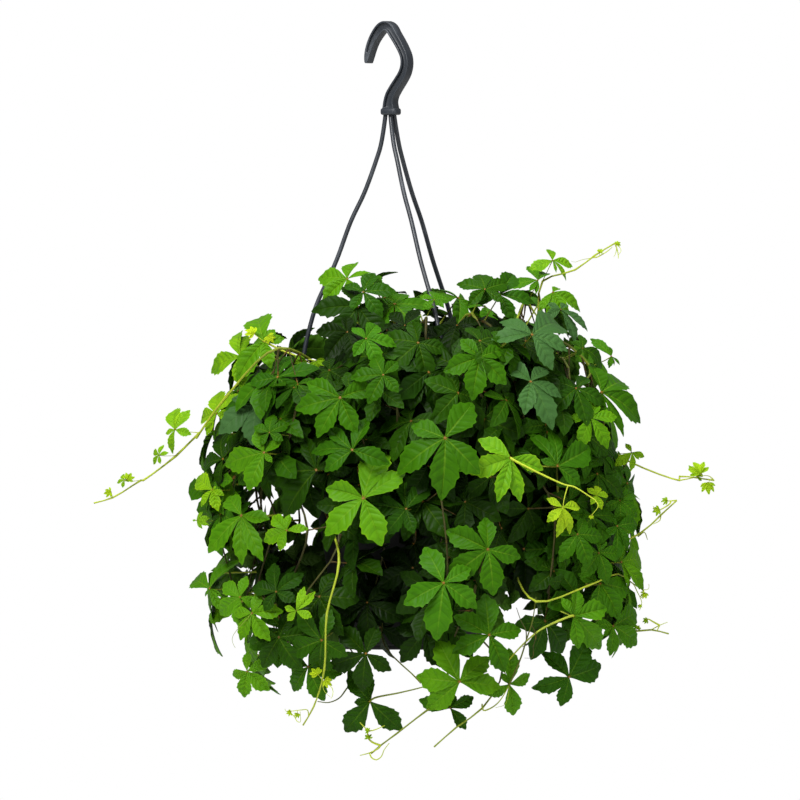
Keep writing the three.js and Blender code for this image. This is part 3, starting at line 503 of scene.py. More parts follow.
under_rim = RIM_TOP - LUG_THICKNESS
inner_floor = pot_base + 2 * WALL
form = turned([
    # the underside and the foot
    (0, pot_base + 0.5), (BASE_RADIUS - 8, pot_base + 0.5), (BASE_RADIUS - 5, pot_base),
    (BASE_RADIUS - 1.2, pot_base), (BASE_RADIUS - 0.3, pot_base + 0.4), (BASE_RADIUS, pot_base + 1.2),
    (BASE_RADIUS, foot_top - 0.5), (BASE_RADIUS + 0.3, foot_top - 0.1),
    (wall_radius(foot_top), foot_top + 0.2), (wall_radius(foot_top + 1), foot_top + 1),
    # the wall, and the rim that is turned down over it
    (wall_radius(under_rim), under_rim), (RIM_RADIUS - WALL, under_rim),
    (RIM_RADIUS - WALL, RIM_TOP - RIM_LIP + 0.4), (RIM_RADIUS - WALL + 0.4, RIM_TOP - RIM_LIP),
    (RIM_RADIUS - 0.4, RIM_TOP - RIM_LIP), (RIM_RADIUS, RIM_TOP - RIM_LIP + 0.4),
    (RIM_RADIUS, RIM_TOP - 1.2), (RIM_RADIUS - 0.35, RIM_TOP - 0.35), (RIM_RADIUS - 1.2, RIM_TOP),
    # the inside, down to the floor
    (wall_radius(RIM_TOP) - WALL + 0.8, RIM_TOP), (wall_radius(RIM_TOP) - WALL, RIM_TOP - 0.8),
    (wall_radius(inner_floor) - WALL, inner_floor), (BASE_RADIUS - 2 * WALL, pot_base + WALL + 0.5),
    (BASE_RADIUS - 5 * WALL, pot_base + WALL), (0, pot_base + WALL)], POT_STEPS, 0)


def drilled_lug():
    """A flat tab with round outer corners and a hole near its end, lying along X."""
    inner = RIM_RADIUS - 1.2
    half = LUG_WIDTH / 2
    lug = bmesh.new()
    hole = bmesh.ops.create_circle(lug, segments=LUG_SIDES, radius=LUG_HOLE)["verts"]
    edge = bmesh.ops.create_circle(lug, segments=LUG_SIDES, radius=half)["verts"]
    bmesh.ops.translate(lug, vec=(LUG_HOLE_RING, 0, 0), verts=hole)
    for corner in edge:      # the inner end is widened and straightened
        reach = LUG_REACH - half if corner.co.x > 0 else inner
        corner.co.x = reach + (corner.co.x if corner.co.x > 0 else 0)
        if reach == inner:
            corner.co.y = clamp(corner.co.y * 1.6, -half, half)
    bmesh.ops.bridge_loops(lug, edges=lug.edges[:])
    extrude_by(lug, lug.faces[:], (0, 0, -LUG_THICKNESS))
    bmesh.ops.translate(lug, vec=(0, 0, RIM_TOP - LUG_SET), verts=lug.verts)
    bmesh.ops.recalc_face_normals(lug, faces=lug.faces)
    return as_mesh(lug, "lug")


lug_mesh = drilled_lug()
for degrees in STRAND_ANGLES:
    corners = add_copy(form, lug_mesh)
    bmesh.ops.rotate(form, matrix=Matrix.Rotation(math.radians(degrees), 3, "Z"), verts=corners)
bmesh.ops.translate(form, vec=(POT_X, 0, 0), verts=form.verts)
# The pot's plastic is the same black as the hanger's, painted much darker: painted shade, as it hangs under
# the leaves.
black = moulded_plastic("pot_plastic_shaded", (0.0025, 0.0027, 0.003), (0.009, 0.0095, 0.01), 0.44, 0.2)
pot = finish_piece("hanging_pot", form, [black], "pot", MOULDED_SHARP)

drills = bmesh.new()
for k in range(DRAIN_COUNT):
    drill = bmesh.ops.create_cone(
        drills, cap_ends=True, segments=DRAIN_SIDES, radius1=DRAIN_RADIUS, radius2=DRAIN_RADIUS,
        depth=8 * WALL)["verts"]
    bmesh.ops.translate(drills, vec=(DRAIN_RING, 0, pot_base), verts=drill)
    bmesh.ops.rotate(drills, matrix=Matrix.Rotation(k / DRAIN_COUNT * math.tau, 3, "Z"), verts=drill)
bmesh.ops.translate(drills, vec=(POT_X, 0, 0), verts=drills.verts)
bmesh.ops.scale(drills, vec=(MM, MM, MM), verts=drills.verts)
drill_bit = bpy.data.objects.new("drill_bit", bpy.data.meshes.new("drill_bit"))
drills.to_mesh(drill_bit.data)
scene.collection.objects.link(drill_bit)
drilling = pot.modifiers.new("drain_holes", "BOOLEAN")
drilling.operation = "DIFFERENCE"
drilling.object = drill_bit
bpy.context.view_layer.update()
drilled = bpy.data.meshes.new_from_object(pot.evaluated_get(bpy.context.evaluated_depsgraph_get()))
pot.modifiers.clear()
pot.data = drilled
bpy.data.objects.remove(drill_bit)

# The soil: dark crumbly peat, a little higher in the middle than at the wall, with loose crumbs on
# top and a few white grains of perlite.
SOIL_TOP = -356
SOIL_CROWN = 4
SOIL_SINK = 1                # how far below its top it meets the wall
SOIL_SHOULDER = 3
SOIL_GAP = 0.3
SOIL_LUMPS = 1.6
LUMP_SIZE = 9
SIDE_ROWS = 6
TOP_ROWS = 22
CRUMBS = 260
CRUMB_SIZE = (0.7, 2.1)
CRUMB_SHAPE = (0.65, 1.15)   # how far its corners stand out, in its own sizes
CRUMB_MARGIN = 3
PERLITE = 13                 # one crumb in so many is a grain of perlite

soil_floor = inner_floor + SOIL_GAP
soil_foot = wall_radius(soil_floor) - WALL - SOIL_GAP
soil_edge = wall_radius(SOIL_TOP) - WALL - SOIL_GAP


def soil_swell(reach):
    """The height of the soil's top, before its lumps, this far from the pot's middle."""
    return SOIL_TOP + SOIL_CROWN * (1 - (reach / soil_edge) ** 2) - SOIL_SINK


def soil_lumps(x, y):
    return SOIL_LUMPS * noise.fractal(Vector((x, y, 0)) / LUMP_SIZE, 0.8, 2.1, 4)


profile = [(0, soil_floor), (soil_foot, soil_floor)]
for k in range(1, SIDE_ROWS + 1):
    share = k / SIDE_ROWS
    profile.append((mix(soil_foot, soil_edge, share), mix(soil_floor, SOIL_TOP - SOIL_SHOULDER, share)))
for k in range(1, TOP_ROWS + 1):
    reach = soil_edge * (1 - k / TOP_ROWS)
    profile.append((reach, soil_swell(reach)))
form = turned(profile, POT_STEPS, POT_X)
for corner in form.verts:    # only the top is lumpy
    if corner.co.z > SOIL_TOP - SOIL_SHOULDER + SOIL_SINK:
        corner.co.z += soil_lumps(corner.co.x, corner.co.y)
crumb_form = bmesh.new()
bmesh.ops.create_icosphere(crumb_form, subdivisions=1, radius=1)
crumb_mesh = as_mesh(crumb_form, "crumb")


def noise_of(key):
    """A number from 0 to 1 that looks random and is always the same for the same key."""
    value = math.sin(key * 12.9898 + 78.233) * 43758.5453
    return value - math.floor(value)


for k in range(CRUMBS):
    reach = (soil_edge - CRUMB_MARGIN) * math.sqrt(noise_of(k + 0.11))
    angle = math.tau * noise_of(k + 0.37)
    size = mix(*CRUMB_SIZE, noise_of(k + 0.53) ** 2)
    corners = add_copy(form, crumb_mesh)
    x, y = POT_X + reach * math.cos(angle), reach * math.sin(angle)
    for n, corner in enumerate(corners):
        corner.co = corner.co * size * mix(*CRUMB_SHAPE, noise_of(k * 13 + n + 0.7))
        corner.co += Vector((x, y, soil_swell(reach) + soil_lumps(x, y) + size * 0.3))
    for face in {face for corner in corners for face in corner.link_faces}:
        face.material_index = int(k % PERLITE == 0)

peat, tree = new_material("peat")
clods = place_group(tree, grain, Scale=260.0, Detail=8.0, Roughness=0.7, Strength=0.9, Depth=0.0012)
damp = clouds(tree, 30.0, 2.0)
earth = blend_colours(tree, clods["Clouds"], (0.008, 0.005, 0.003), (0.055, 0.034, 0.021))
close_material(
    tree, Base_Color=blend_colours(tree, damp, earth, (0.012, 0.008, 0.006)),
    Roughness=steps(tree, damp, 0.4, 0.7, 0.95, 0.8), Normal=clods["Normal"])
perlite, tree = new_material("perlite")
pores = add_node(
    tree, "ShaderNodeTexVoronoi", Vector=place_on_piece(tree), Scale=2400.0).outputs["Distance"]
close_material(
    tree, Base_Color=blend_colours(tree, pores, (0.32, 0.30, 0.27), (0.75, 0.74, 0.70)), Roughness=0.9)
finish_piece("soil_fill", form, [peat, perlite], "soil", 60)

# The mound: a vine of five-fingered leaves. Each stem is one grown piece with its leaf stalks and
# leaves. It roots in the soil, arches out over the rim and hangs, with a leaf at each node.
MOUND_X = 25
MOUND = [                    # height and radius of the mound
    (-165, 42), (-179, 70), (-202, 110), (-232, 145), (-277, 165), (-314, 170), (-427, 170),
    (-457, 160), (-502, 130), (-539, 110)]
SLOPE_STEP = 8
ROOT_DEPTH = 15
ROOT_RING = (22, 60, -190, -265)   # nearest and farthest root, and the first leaf's height for each
SPROUT = 10                  # how far a stem stands upright out of the soil
ARCH = (0.35, 0.72)          # where a stem arches over, as shares of its way out and down
ZIGZAG = 5
STALK = (10, 0.45)           # a leaf stalk's least length, and its growth with the leaf
LEAFLETS = [                 # of a plain leaf: direction, and share of its length
    (-128, 0.7), (-63, 0.92), (0, 1), (63, 0.92), (128, 0.7)]
BLADE_DROOP = 0.3
MOST_STRETCH = 1.5           # a leaflet read from the front is made at most this much longer
LEAST_REACH = 0.6            # and at least this long, as a share of what was read
SETTLINGS = 6
SHADED = 0.6                 # the light of the leaves at the sides and the back
SHADE_DEPTH = 0.62           # how far out a leaf without light stands, as a share of the radius
FULL_LIGHT = 0.5             # the light from which on it stands at the surface
EDGE_DEPTH = 0.3             # at the left and right edge a leaf stands at least this far forward
LIFT = Vector((0, 0, 0.4))   # leaves look outwards and a little up
FACING = Vector((0, -1, 0.2))      # those in front also turn to the front
DROOP = 1.2                  # their middle leaflets point outwards and this much more down
UNEVEN_FRONT = 0.4
UNEVEN_BACK = 0.5
TRIES = [                    # shift outwards, lean and swing, by which a leaf clears its neighbours
    (0, 0, 0), (6, 0, 0), (-5, 0, 0), (0, 14, 0), (0, -14, 0), (12, 0, 0), (6, 14, 8), (6, -14, -8),
    (18, 0, 0), (12, 16, -10), (-8, 12, 10), (-8, -12, -10), (24, 0, 0), (18, 18, 12), (30, 0, 0),
    (24, -18, -12), (36, 0, 0)]
FRONT_STEMS = [              # for each leaf: across, up, length, turn, light; without a length, a bend
    [(-109, -244, 26, 150, 0.75), (-127, -287, 26, 90, 0.85), (-130, -344, 19, 150, 0.85),
     (-142, -367, 14, 200, 0.85), (-132, -418, 25, 120, 0.6)],
    [(-80, -238, 0, 0, 0.5), (-121, -276, 0, 0, 0.8), (-142, -305, 0, 0, 0.8),
     (-158, -299, 17, 120, 0.85), (-170, -318, 10, 150, 0.85), (-182, -337, 0, 0, 0.9),
     (-196, -337, 8, 120, 0.9), (-205, -350, 0, 0, 0.9), (-219, -354, 0, 0, 0.9)],
    [(-91, -233, 29, 100, 0.7), (-97, -278, 38, 225, 0.25), (-122, -321, 30, 110, 0.2),
     (-108, -363, 40, -100, 0.6), (-109, -424, 24, -150, 0.7), (-100, -436, 24, -60, 0.7)],
    [(-60, -262, 0, 0, 0.3), (-87, -301, 17, 90, 0.5), (-91, -316, 34, 215, 0.65),
     (-74, -374, 21, 180, 0.8), (-82, -420, 25, 100, 0.3), (-80, -454, 29, -60, 0.3),
     (-104, -480, 22, -40, 0.7)],
    [(-29, -186, 27, 165, 0.75), (-17, -196, 25, 10, 0.4), (-52, -329, 40, 200, 0.3),
     (-50, -386, 26, -70, 0.65), (-67, -434, 17, -20, 0.85), (-58, -476, 28, -70, 0.4)],
    [(-45, -262, 0, 0, -0.1), (-48, -345, 0, 0, -0.1), (-35, -398, 0, 0, 0.9), (-44, -436, 0, 0, 1),
     (-46, -478, 0, 0, 1), (-54, -506, 0, 0, 1), (-62, -520, 0, 0, 1)],
    [(-21, -207, 36, 225, 0.25), (-15, -231, 24, 0, 0.6), (-34, -275, 38, 185, 0.6),
     (-25, -314, 33, 170, 0.5), (-17, -350, 43, -68, 0.75)],
    [(-29, -226, 27, 220, 0.15), (-2, -258, 25, 180, 0.5), (-14, -428, 32, -90, 0.1),
     (-48, -456, 32, 190, 0.35), (-12, -502, 33, -60, 0.3)],
    [(11, -204, 24, 90, 0.35), (14, -221, 21, 60, 0.1), (3, -294, 25, -90, 0.15),
     (15, -358, 25, -75, 0.35), (20, -402, 32, -90, 0.1), (-15, -466, 32, 200, 0.2),
     (26, -488, 0, 0, 0.4)],
    [(36, -202, 14, 90, 0.65), (24, -234, 32, -140, 0.4), (44, -305, 46, -90, 0.6),
     (43, -413, 41, -95, 0.6), (28, -450, 30, -60, 0.15)],
    [(39, -244, 29, -95, 0.15), (56, -272, 22, -60, 0.2), (62, -340, 30, -100, 0.15),
     (76, -388, 37, -145, 0.65), (55, -487, 36, -140, 0.6), (48, -507, 22, -60, 0.35),
     (30, -509, 0, 0, 0.5), (8, -526, 0, 0, 0.5), (-4, -535, 0, 0, 0.5), (-11, -541, 0, 0, 0.5)],
    [(70, -245, 30, -100, 0.65), (93, -320, 37, -100, 0.8), (77, -452, 34, -70, 0.5),
     (92, -489, 27, -70, 0.65), (72, -507, 0, 0, 0.6), (53, -521, 0, 0, 0.6), (36, -536, 0, 0, 0.6)],
    [(74, -194, 24, 100, 0.5), (91, -296, 28, -60, 0.15), (102, -345, 30, -80, 0.1),
     (103, -388, 36, -80, 0.12), (112, -427, 0, 0, 0.8), (150, -416, 0, 0, 1), (174, -407, 0, 0, 1),
     (182, -412, 0, 0, 1)],
    [(85, -198, 30, 60, 0.42), (108, -263, 36, -60, 0.45), (128, -326, 33, 60, 0.5),
     (132, -357, 16, -90, 0.95), (140, -438, 29, -60, 0.65), (137, -484, 30, -110, 0.4)],
    [(109, -228, 33, -20, 0.4), (142, -268, 29, -70, 0.35), (158, -332, 29, -30, 0.3),
     (157, -348, 12, 0, 0.95), (154, -363, 26, -60, 0.4), (160, -414, 30, -50, 0.5)],
    [(131, -209, 29, -40, 0.35), (169, -244, 22, 135, 0.5), (161, -271, 36, -30, 0.5),
     (184, -316, 12, 0, 0.85), (220, -337, 0, 0, 0.9), (233, -334, 10, 60, 0.9), (246, -337, 0, 0, 0.9)],
    [(147, -238, 14, 0, 0.4), (153, -290, 25, -50, 0.7), (175, -352, 20, -30, 0.45),
     (173, -371, 26, -90, 0.45), (176, -398, 27, -20, 0.65), (170, -446, 26, -60, 0.55),
     (187, -450, 0, 0, 0.6), (199, -449, 0, 0, 0.6), (212, -452, 0, 0, 0.6)],
    [(89, -234, 0, 0, 0.6), (114, -187, 19, 120, 0.7), (125, -196, 24, -15, 0.75),
     (125, -172, 17, 180, 0.8), (142, -179, 0, 0, 0.8), (157, -168, 0, 0, 0.8), (172, -159, 0, 0, 0.8)],
    [(118, -282, 0, 0, 0.1), (143, -377, 24, -60, 0.5), (159, -391, 24, -60, 0.5),
     (190, -377, 0, 0, 0.9), (206, -363, 0, 0, 0.9), (218, -352, 0, 0, 0.9)]]


def line_at(line, x):
    """The second number at x, on a line of pairs whose first numbers all rise or all fall."""
    for (x1, y1), (x2, y2) in zip(line, line[1:]):
        if min(x1, x2) <= x <= max(x1, x2):
            return mix(y1, y2, (x - x1) / (x2 - x1))
    return min(line, key=lambda point: abs(point[0] - x))[1]


def mound_radius(z):
    return line_at(MOUND, z)


def mound_normal(place):
    reach = max(1, math.hypot(place.x - MOUND_X, place.y))
    slope = (mound_radius(place.z + SLOPE_STEP) - mound_radius(place.z - SLOPE_STEP)) / (2 * SLOPE_STEP)
    return Vector(((place.x - MOUND_X) / reach, place.y / reach, -slope)).normalized()


def swung(first, second, degrees):
    """The first way turned towards the second, which is square to it."""
    return first * math.cos(math.radians(degrees)) + second * math.sin(math.radians(degrees))


def hanging_way(normal, out, swing):
    """The way down a leaf's own slope, swung aside by some degrees."""
    fall = Vector((out.x, out.y, -DROOP))
    downhill = (fall - normal * fall.dot(normal)).normalized()
    return swung(downhill, normal.cross(downhill), swing).normalized()


def uneven(key, *parts):
    return Vector([noise_of(key + part) - 0.5 for part in parts])


def front_leaf(row, key):
    """A main leaf in front, at its place across and up; the darker it is, the deeper it lies."""
    x, z, length, turn, light = row
    radius = mound_radius(z)
    depth = mix(SHADE_DEPTH, 1, min(1, light / FULL_LIGHT))
    forward = math.sqrt(max(EDGE_DEPTH ** 2, 1 - ((x - MOUND_X) / radius) ** 2))
    hub = Vector((x, -radius * forward * depth, z))
    out = mound_normal(hub)
    jitter = Vector((noise_of(key) - 0.5, 0, noise_of(key + 0.3) - 0.5))
    normal = ((out + LIFT).normalized() + FACING + jitter * UNEVEN_FRONT).normalized()
    heading = Vector((math.cos(math.radians(turn)), 0, math.sin(math.radians(turn))))
    heading.y = -(normal.x * heading.x + normal.z * heading.z) / normal.y
    return {
        "hub": hub, "out": out, "normal": normal, "along": heading.normalized(), "length": length,
        "light": light, "push": Vector((0, -1, 0)), "key": key}


def ruled_leaf(angle, z, depth, length, swing, key):
    """A main leaf at the sides or the back, by its angle round the mound and its height."""
    reach = mound_radius(z) * depth
    hub = Vector((MOUND_X + reach * math.cos(angle), reach * math.sin(angle), z))
    out = mound_normal(hub)
    normal = (out + LIFT + uneven(key, 0.1, 0.2, 0.3) * UNEVEN_BACK).normalized()
    return {
        "hub": hub, "out": out, "normal": normal, "along": hanging_way(normal, out, swing),
        "length": length, "light": SHADED, "push": out, "key": key}


def leaf_after(leaf, attempt):
    """The leaf after it has been shifted, leant and swung by one of the tries."""
    shift, lean, swing = attempt
    leaned = swung(leaf["normal"], leaf["normal"].cross(leaf["along"]), lean)
    side = leaned.cross(leaf["along"]).normalized()
    turned_way = swung(leaf["along"], side, swing)
    return {
        **leaf, "hub": leaf["hub"] + leaf["push"] * shift, "normal": leaned, "along": turned_way,
        "across": leaned.cross(turned_way)}


def read_fingers(leaf):
    """Turns in radians and lengths, in the leaf's own plane, of leaflets read from the front."""
    normal, fingers = leaf["normal"], []
    for degrees, wanted in leaf["fingers"]:
        across, up = math.cos(math.radians(degrees)), math.sin(math.radians(degrees))
        lean = -(normal.x * across + normal.z * up)
        way = Vector((across, lean / normal.y, up))
        stretch = min(way.length, MOST_STRETCH)
        reach = wanted
        for settling in range(SETTLINGS):
            reach = (wanted - lean * BLADE_DROOP * reach * reach / leaf["length"]) * stretch
            reach = clamp(reach, LEAST_REACH * wanted, MOST_STRETCH * wanted)
        fingers.append((math.atan2(way.dot(leaf["across"]), way.dot(leaf["along"])), reach))
    return fingers


def leaflets_of(leaf):
    """The turn and length of each leaflet, in the leaf's own plane."""
    if leaf.get("fingers"):
        return read_fingers(leaf)
    spread = leaf.get("spread", 1)
    return [(math.radians(turn * spread), share * leaf["length"]) for turn, share in LEAFLETS]


def leaf_tips(leaf):
    """Where its five leaflets end."""
    tips = []
    for turn, reach in leaflets_of(leaf):
        way = leaf["along"] * math.cos(turn) + leaf["across"] * math.sin(turn)
        sag = BLADE_DROOP * reach * reach / leaf["length"]
        tips.append(leaf["hub"] + way * reach - leaf["normal"] * sag)
    return tips


def stem_route(leaves, reach):
    """The nodes of a stem, one for each leaf, and the bends that it takes from its root on."""
    nodes = []
    for i, leaf in enumerate(leaves):
        inward = -(STALK[0] + STALK[1] * leaf["length"]) if leaf["length"] else 0
        zigzag = (ZIGZAG if i % 2 else -ZIGZAG) if leaf["length"] else 0
        side = Vector((-leaf["out"].y, leaf["out"].x, 0)).normalized()
        nodes.append(leaf["hub"] + leaf["out"] * inward + side * zigzag)
    angle = math.atan2(nodes[0].y, nodes[0].x - POT_X)
    foot = Vector((POT_X + reach * math.cos(angle), reach * math.sin(angle), SOIL_TOP - ROOT_DEPTH))
    sprout = Vector((foot.x, foot.y, SOIL_TOP + SPROUT))
    arch = Vector((
        mix(foot.x, nodes[0].x, ARCH[0]), mix(foot.y, nodes[0].y, ARCH[0]),
        mix(sprout.z, nodes[0].z, ARCH[1])))
    return nodes, [foot, sprout, arch, *nodes]


def root_reach(height):
    """How far from the pot's middle a stem roots: the lower its first leaf, the further out."""
    inner, outer, high, low = ROOT_RING
    return mix(inner, outer, clamp((high - height) / (high - low)))


# A leaf: five leaflets spread from the end of its stalk. Each leaflet is wedge-shaped at its foot,
# widest past its middle and toothed towards its tip, folded along its midrib and puffed up between
# its side veins. It is two sheets joined at their edge. The sizes are for a leaflet 1 long.
LEAFLET_HALF = 0.26          # half a leaflet's width, for a length of 1
LEAFLET_FOOT = 0.016
BULGE = 1.38                 # above 1, a leaflet is widest past its middle
FOOT_POWER = 0.9
TIP_POWER = 1.25             # above 1, it narrows to a drawn-out tip
VEIN_LAG = 0.75              # how far forward the side veins run
TOOTH = 0.075
TOOTH_SIZES = (0.6, 1.4)
TOOTH_HOOK = 0.03            # how far a tooth points forward
NOTCH = 0.7                  # how deep the edge lies between two teeth, as a share of a tooth
TOOTHED = (0.28, 0.12)       # where the teeth start, and over which length they grow
PUFF = 0.01                  # how far the blade is puffed up between its side veins
SUNK = 0.35                  # how far it sinks along them, as a share of that
RIPPLE = 0.02
MIDRIB_ABOVE = 0.0055        # how deep the midrib lies in the upper face
MIDRIB_BELOW = 0.022         # and how far it stands out of the lower one
HALVES_DIFFER = 0.14         # how much wider one half of a leaflet may be than the other
LEAFLET_KINDS = 5
FINE_ROWS = 14               # every second one of these rows is a side vein that ends in a tooth
PLAIN_ROWS = 8
LEAFLET_SWAY = 0.12
FOLD = (0.38, 0.4)           # how steeply its halves rise from the midrib, and how much that differs
FOLD_EASE = 0.9              # how much they level out again towards the edge
BUD_FOLD = 0.85
TWIST = 0.7
CURL = 0.3
SICKLE = 0.16
CROWDED = 0.8                # radians from the next leaflet below which a leaflet is slimmer
SLIMMEST = 0.62


def leaflet_width(t):
    """Half the width at a share of the leaflet's length."""
    swell = math.sin(math.pi * t ** BULGE)
    power = FOOT_POWER if t ** BULGE < 0.5 else TIP_POWER
    return LEAFLET_FOOT * (1 - t) + LEAFLET_HALF * max(0, swell) ** power


def leaflet_sheet(rows, halves, kind, upper):
    """One face of a leaflet, along +X from its foot at the origin, with u along it and v across.
    Each row of corners follows a side vein, and every second one ends in a tooth."""
    sheet = bmesh.new()
    bmesh.ops.create_grid(sheet, x_segments=rows, y_segments=2 * halves, size=1)
    veins = sheet.loops.layers.uv.new("leaflet")
    if not upper:
        bmesh.ops.reverse_faces(sheet, faces=sheet.faces)
    for face in sheet.faces:
        for loop in face.loops:
            t, c = (loop.vert.co.x + 1) / 2, loop.vert.co.y
            loop[veins].uv = (t + (0 if upper else 2), c / 2 + 0.5)
    for corner in sheet.verts:
        t, c = (corner.co.x + 1) / 2, corner.co.y
        row, side = round(t * rows), abs(c)
        on_vein = row % 2 == 1
        width = leaflet_width(t) * (1 + HALVES_DIFFER * (noise_of(kind * 7 + (c > 0)) - 0.5))
        x = t - VEIN_LAG * t * (1 - t) * (1 - side)
        z = -(MIDRIB_ABOVE if upper else MIDRIB_BELOW) * (1 - side)
        z *= math.sin(math.pi * clamp(t, 0.06, 0.97)) ** 0.4
        if side == 1:
            toothed = clamp((t - TOOTHED[0]) / TOOTHED[1]) * (0 < row < rows)
            tooth = TOOTH * mix(*TOOTH_SIZES, noise_of(kind * 31 + row * 2 + (c > 0)))
            width *= 1 + tooth * toothed * (1 if on_vein else -NOTCH)
            x += TOOTH_HOOK * toothed * on_vein
            z += RIPPLE * toothed * (noise_of(kind * 17 + row + 50 * c) - 0.5) * (1 if on_vein else -1)
        elif upper and side == 0.5:
            z += PUFF * (-SUNK if on_vein else 1) * math.sin(math.pi * t)
        corner.co = (x, c * width, z)
    return sheet


def leaf_form(rows, halves, kind):
    """The five leaflets of a leaf, each along +X, with the number of its leaflet on each corner."""
    leaf = bmesh.new()
    for number in range(len(LEAFLETS)):
        pair = bmesh.new()
        for upper in (True, False):
            sheet = as_mesh(leaflet_sheet(rows, halves if upper else 1, kind + number * 3, upper), "sheet")
            pair.from_mesh(sheet)
            bpy.data.meshes.remove(sheet)
        bmesh.ops.remove_doubles(pair, verts=pair.verts, dist=0.001)
        which = pair.verts.layers.float.new("which")
        for corner in pair.verts:
            corner[which] = number
        joined = as_mesh(pair, "pair")
        leaf.from_mesh(joined)
        bpy.data.meshes.remove(joined)
    for layer in ("tone", "tint"):
        leaf.verts.layers.float.new(layer)
    return as_mesh(leaf, "leaf")


FINE_LEAVES = [leaf_form(FINE_ROWS, 2, kind) for kind in range(LEAFLET_KINDS)]
PLAIN_LEAVES = [leaf_form(PLAIN_ROWS, 1, kind) for kind in range(LEAFLET_KINDS)]


def slimness(turns):
    """How wide each leaflet stays beside its nearest neighbour."""
    slims = []
    for turn in turns:
        gaps = [abs((turn - other + math.pi) % math.tau - math.pi) for other in turns if other != turn]
        slims.append(clamp(min(gaps) / CROWDED, SLIMMEST, 1))
    return slims


def add_leaf(form, leaf, fine, tone, tint):
    """Spreads a leaf's five leaflets from its hub, each with a fold, twist and curl of its own."""
    forms = FINE_LEAVES if fine else PLAIN_LEAVES
    key, spread = leaf["key"], leaf.get("spread", 1)
    corners = add_copy(form, forms[int(noise_of(key + 0.41) * LEAFLET_KINDS)])
    which = form.verts.layers.float["which"]
    tone_layer, tint_layer = form.verts.layers.float["tone"], form.verts.layers.float["tint"]
    manner = []
    for number, (turn, reach) in enumerate(leaflets_of(leaf)):
        chance = [noise_of(key + number * 1.7 + part) - 0.5 for part in (0.05, 0.15, 0.25, 0.35, 0.45)]
        manner.append((
            turn + LEAFLET_SWAY * chance[0], reach, mix(BUD_FOLD, FOLD[0] + FOLD[1] * chance[1], spread),
            TWIST * chance[2], CURL * (chance[3] + 0.3), SICKLE * chance[4]))
    slims = slimness([turn for turn, *rest in manner])
    hub, along, across, normal = leaf["hub"], leaf["along"], leaf["across"], leaf["normal"]
    for corner in corners:
        turn, reach, fold, twist, curl, sickle = manner[round(corner[which])]
        x, y, z = corner.co
        y *= slims[round(corner[which])]
        z += fold * abs(y) * (1 - FOLD_EASE * abs(y)) - curl * x * x
        y, z = y * math.cos(twist) - z * math.sin(twist), y * math.sin(twist) + z * math.cos(twist)
        y += sickle * x * x
        a = (x * math.cos(turn) - y * math.sin(turn)) * reach
        b = (x * math.sin(turn) + y * math.cos(turn)) * reach
        droop = BLADE_DROOP * (a * a + b * b) / leaf["length"]
        corner.co = hub + along * a + across * b + normal * (z * reach - droop)
        corner[tone_layer] = tone
        corner[tint_layer] = tint


STALK_RADII = (1.0, 0.62, 0.6, 0.8, 0.95)
FULL_STALK = 36              # the length of leaf from which its stalk has its full thickness
STALK_SIDES = 5
KNOB = 1.3                   # how far the brown knob at the hub reaches


def add_stalk(form, foot, leaf, tone):
    """A leaf stalk that leaves its stem, lifts and meets the hub from below."""
    hub, normal = leaf["hub"], leaf["normal"]
    size = clamp(leaf["length"] / FULL_STALK, 0.35, 1)
    bow = foot.lerp(hub, 0.45) + leaf["out"] * 2.5 * size - normal * 1.5
    path = [
        foot, foot.lerp(bow, 0.55), bow.lerp(hub - normal * 2.5, 0.5), hub - normal * 1.4,
        hub + normal * 0.3]
    corners = add_tube(form, path, [size * radius for radius in STALK_RADII], STALK_SIDES)
    paint(form, corners, tone)
    paint(form, [corner for corner in corners if (corner.co - path[-1]).length < KNOB], 0)


def paint(form, corners, tone):
    """Gives a stretch of stem its tone and its material."""
    layer = form.verts.layers.float["tone"]
    for corner in corners:
        corner[layer] = tone
        for face in corner.link_faces:
            face.material_index = 1


STEM_RADIUS = 1.15
STEM_TIP = 0.5
STEM_SIDES = 7
STEM_STEP = 13
NODE_SWELL = 1.3
OLD_STEM = 0.14              # the tone of a stem inside the mound
PALEST_STEM = 0.85
RUNNER_LEAF = 25             # a runner is pale from where its leaves get shorter than this


def add_stem(form, bends, nodes, tones):
    """The stem through its bends, thinner towards its tip and a little swollen at its nodes. Its
    tone runs from that of one node to that of the next."""
    path = smooth_path(bends, STEM_STEP)
    radii = []
    for k, point in enumerate(path):
        share = k / (len(path) - 1)
        near = min((point - node).length for node in nodes)
        radii.append(mix(STEM_RADIUS, STEM_TIP, share ** 1.5) * (NODE_SWELL if near < 1 else 1))
    corners = add_tube(form, path, radii, STEM_SIDES)
    paint(form, corners, 0)
    layer = form.verts.layers.float["tone"]
    for corner in corners:
        pull = [1 / (1 + (corner.co - node).length) ** 3 for node in nodes]
        corner[layer] = sum(share * tone for share, tone in zip(pull, tones)) / sum(pull)
    return path


def leaf_clear(leaf, corners):
    """The leaf as it stands in the frame, found by the tips of its leaflets, or None."""
    for attempt in TRIES:
        candidate = leaf_after(leaf, attempt)
        if all(corners.find(tip)[2] < 0.3 for tip in leaf_tips(candidate)):
            return candidate
    return None


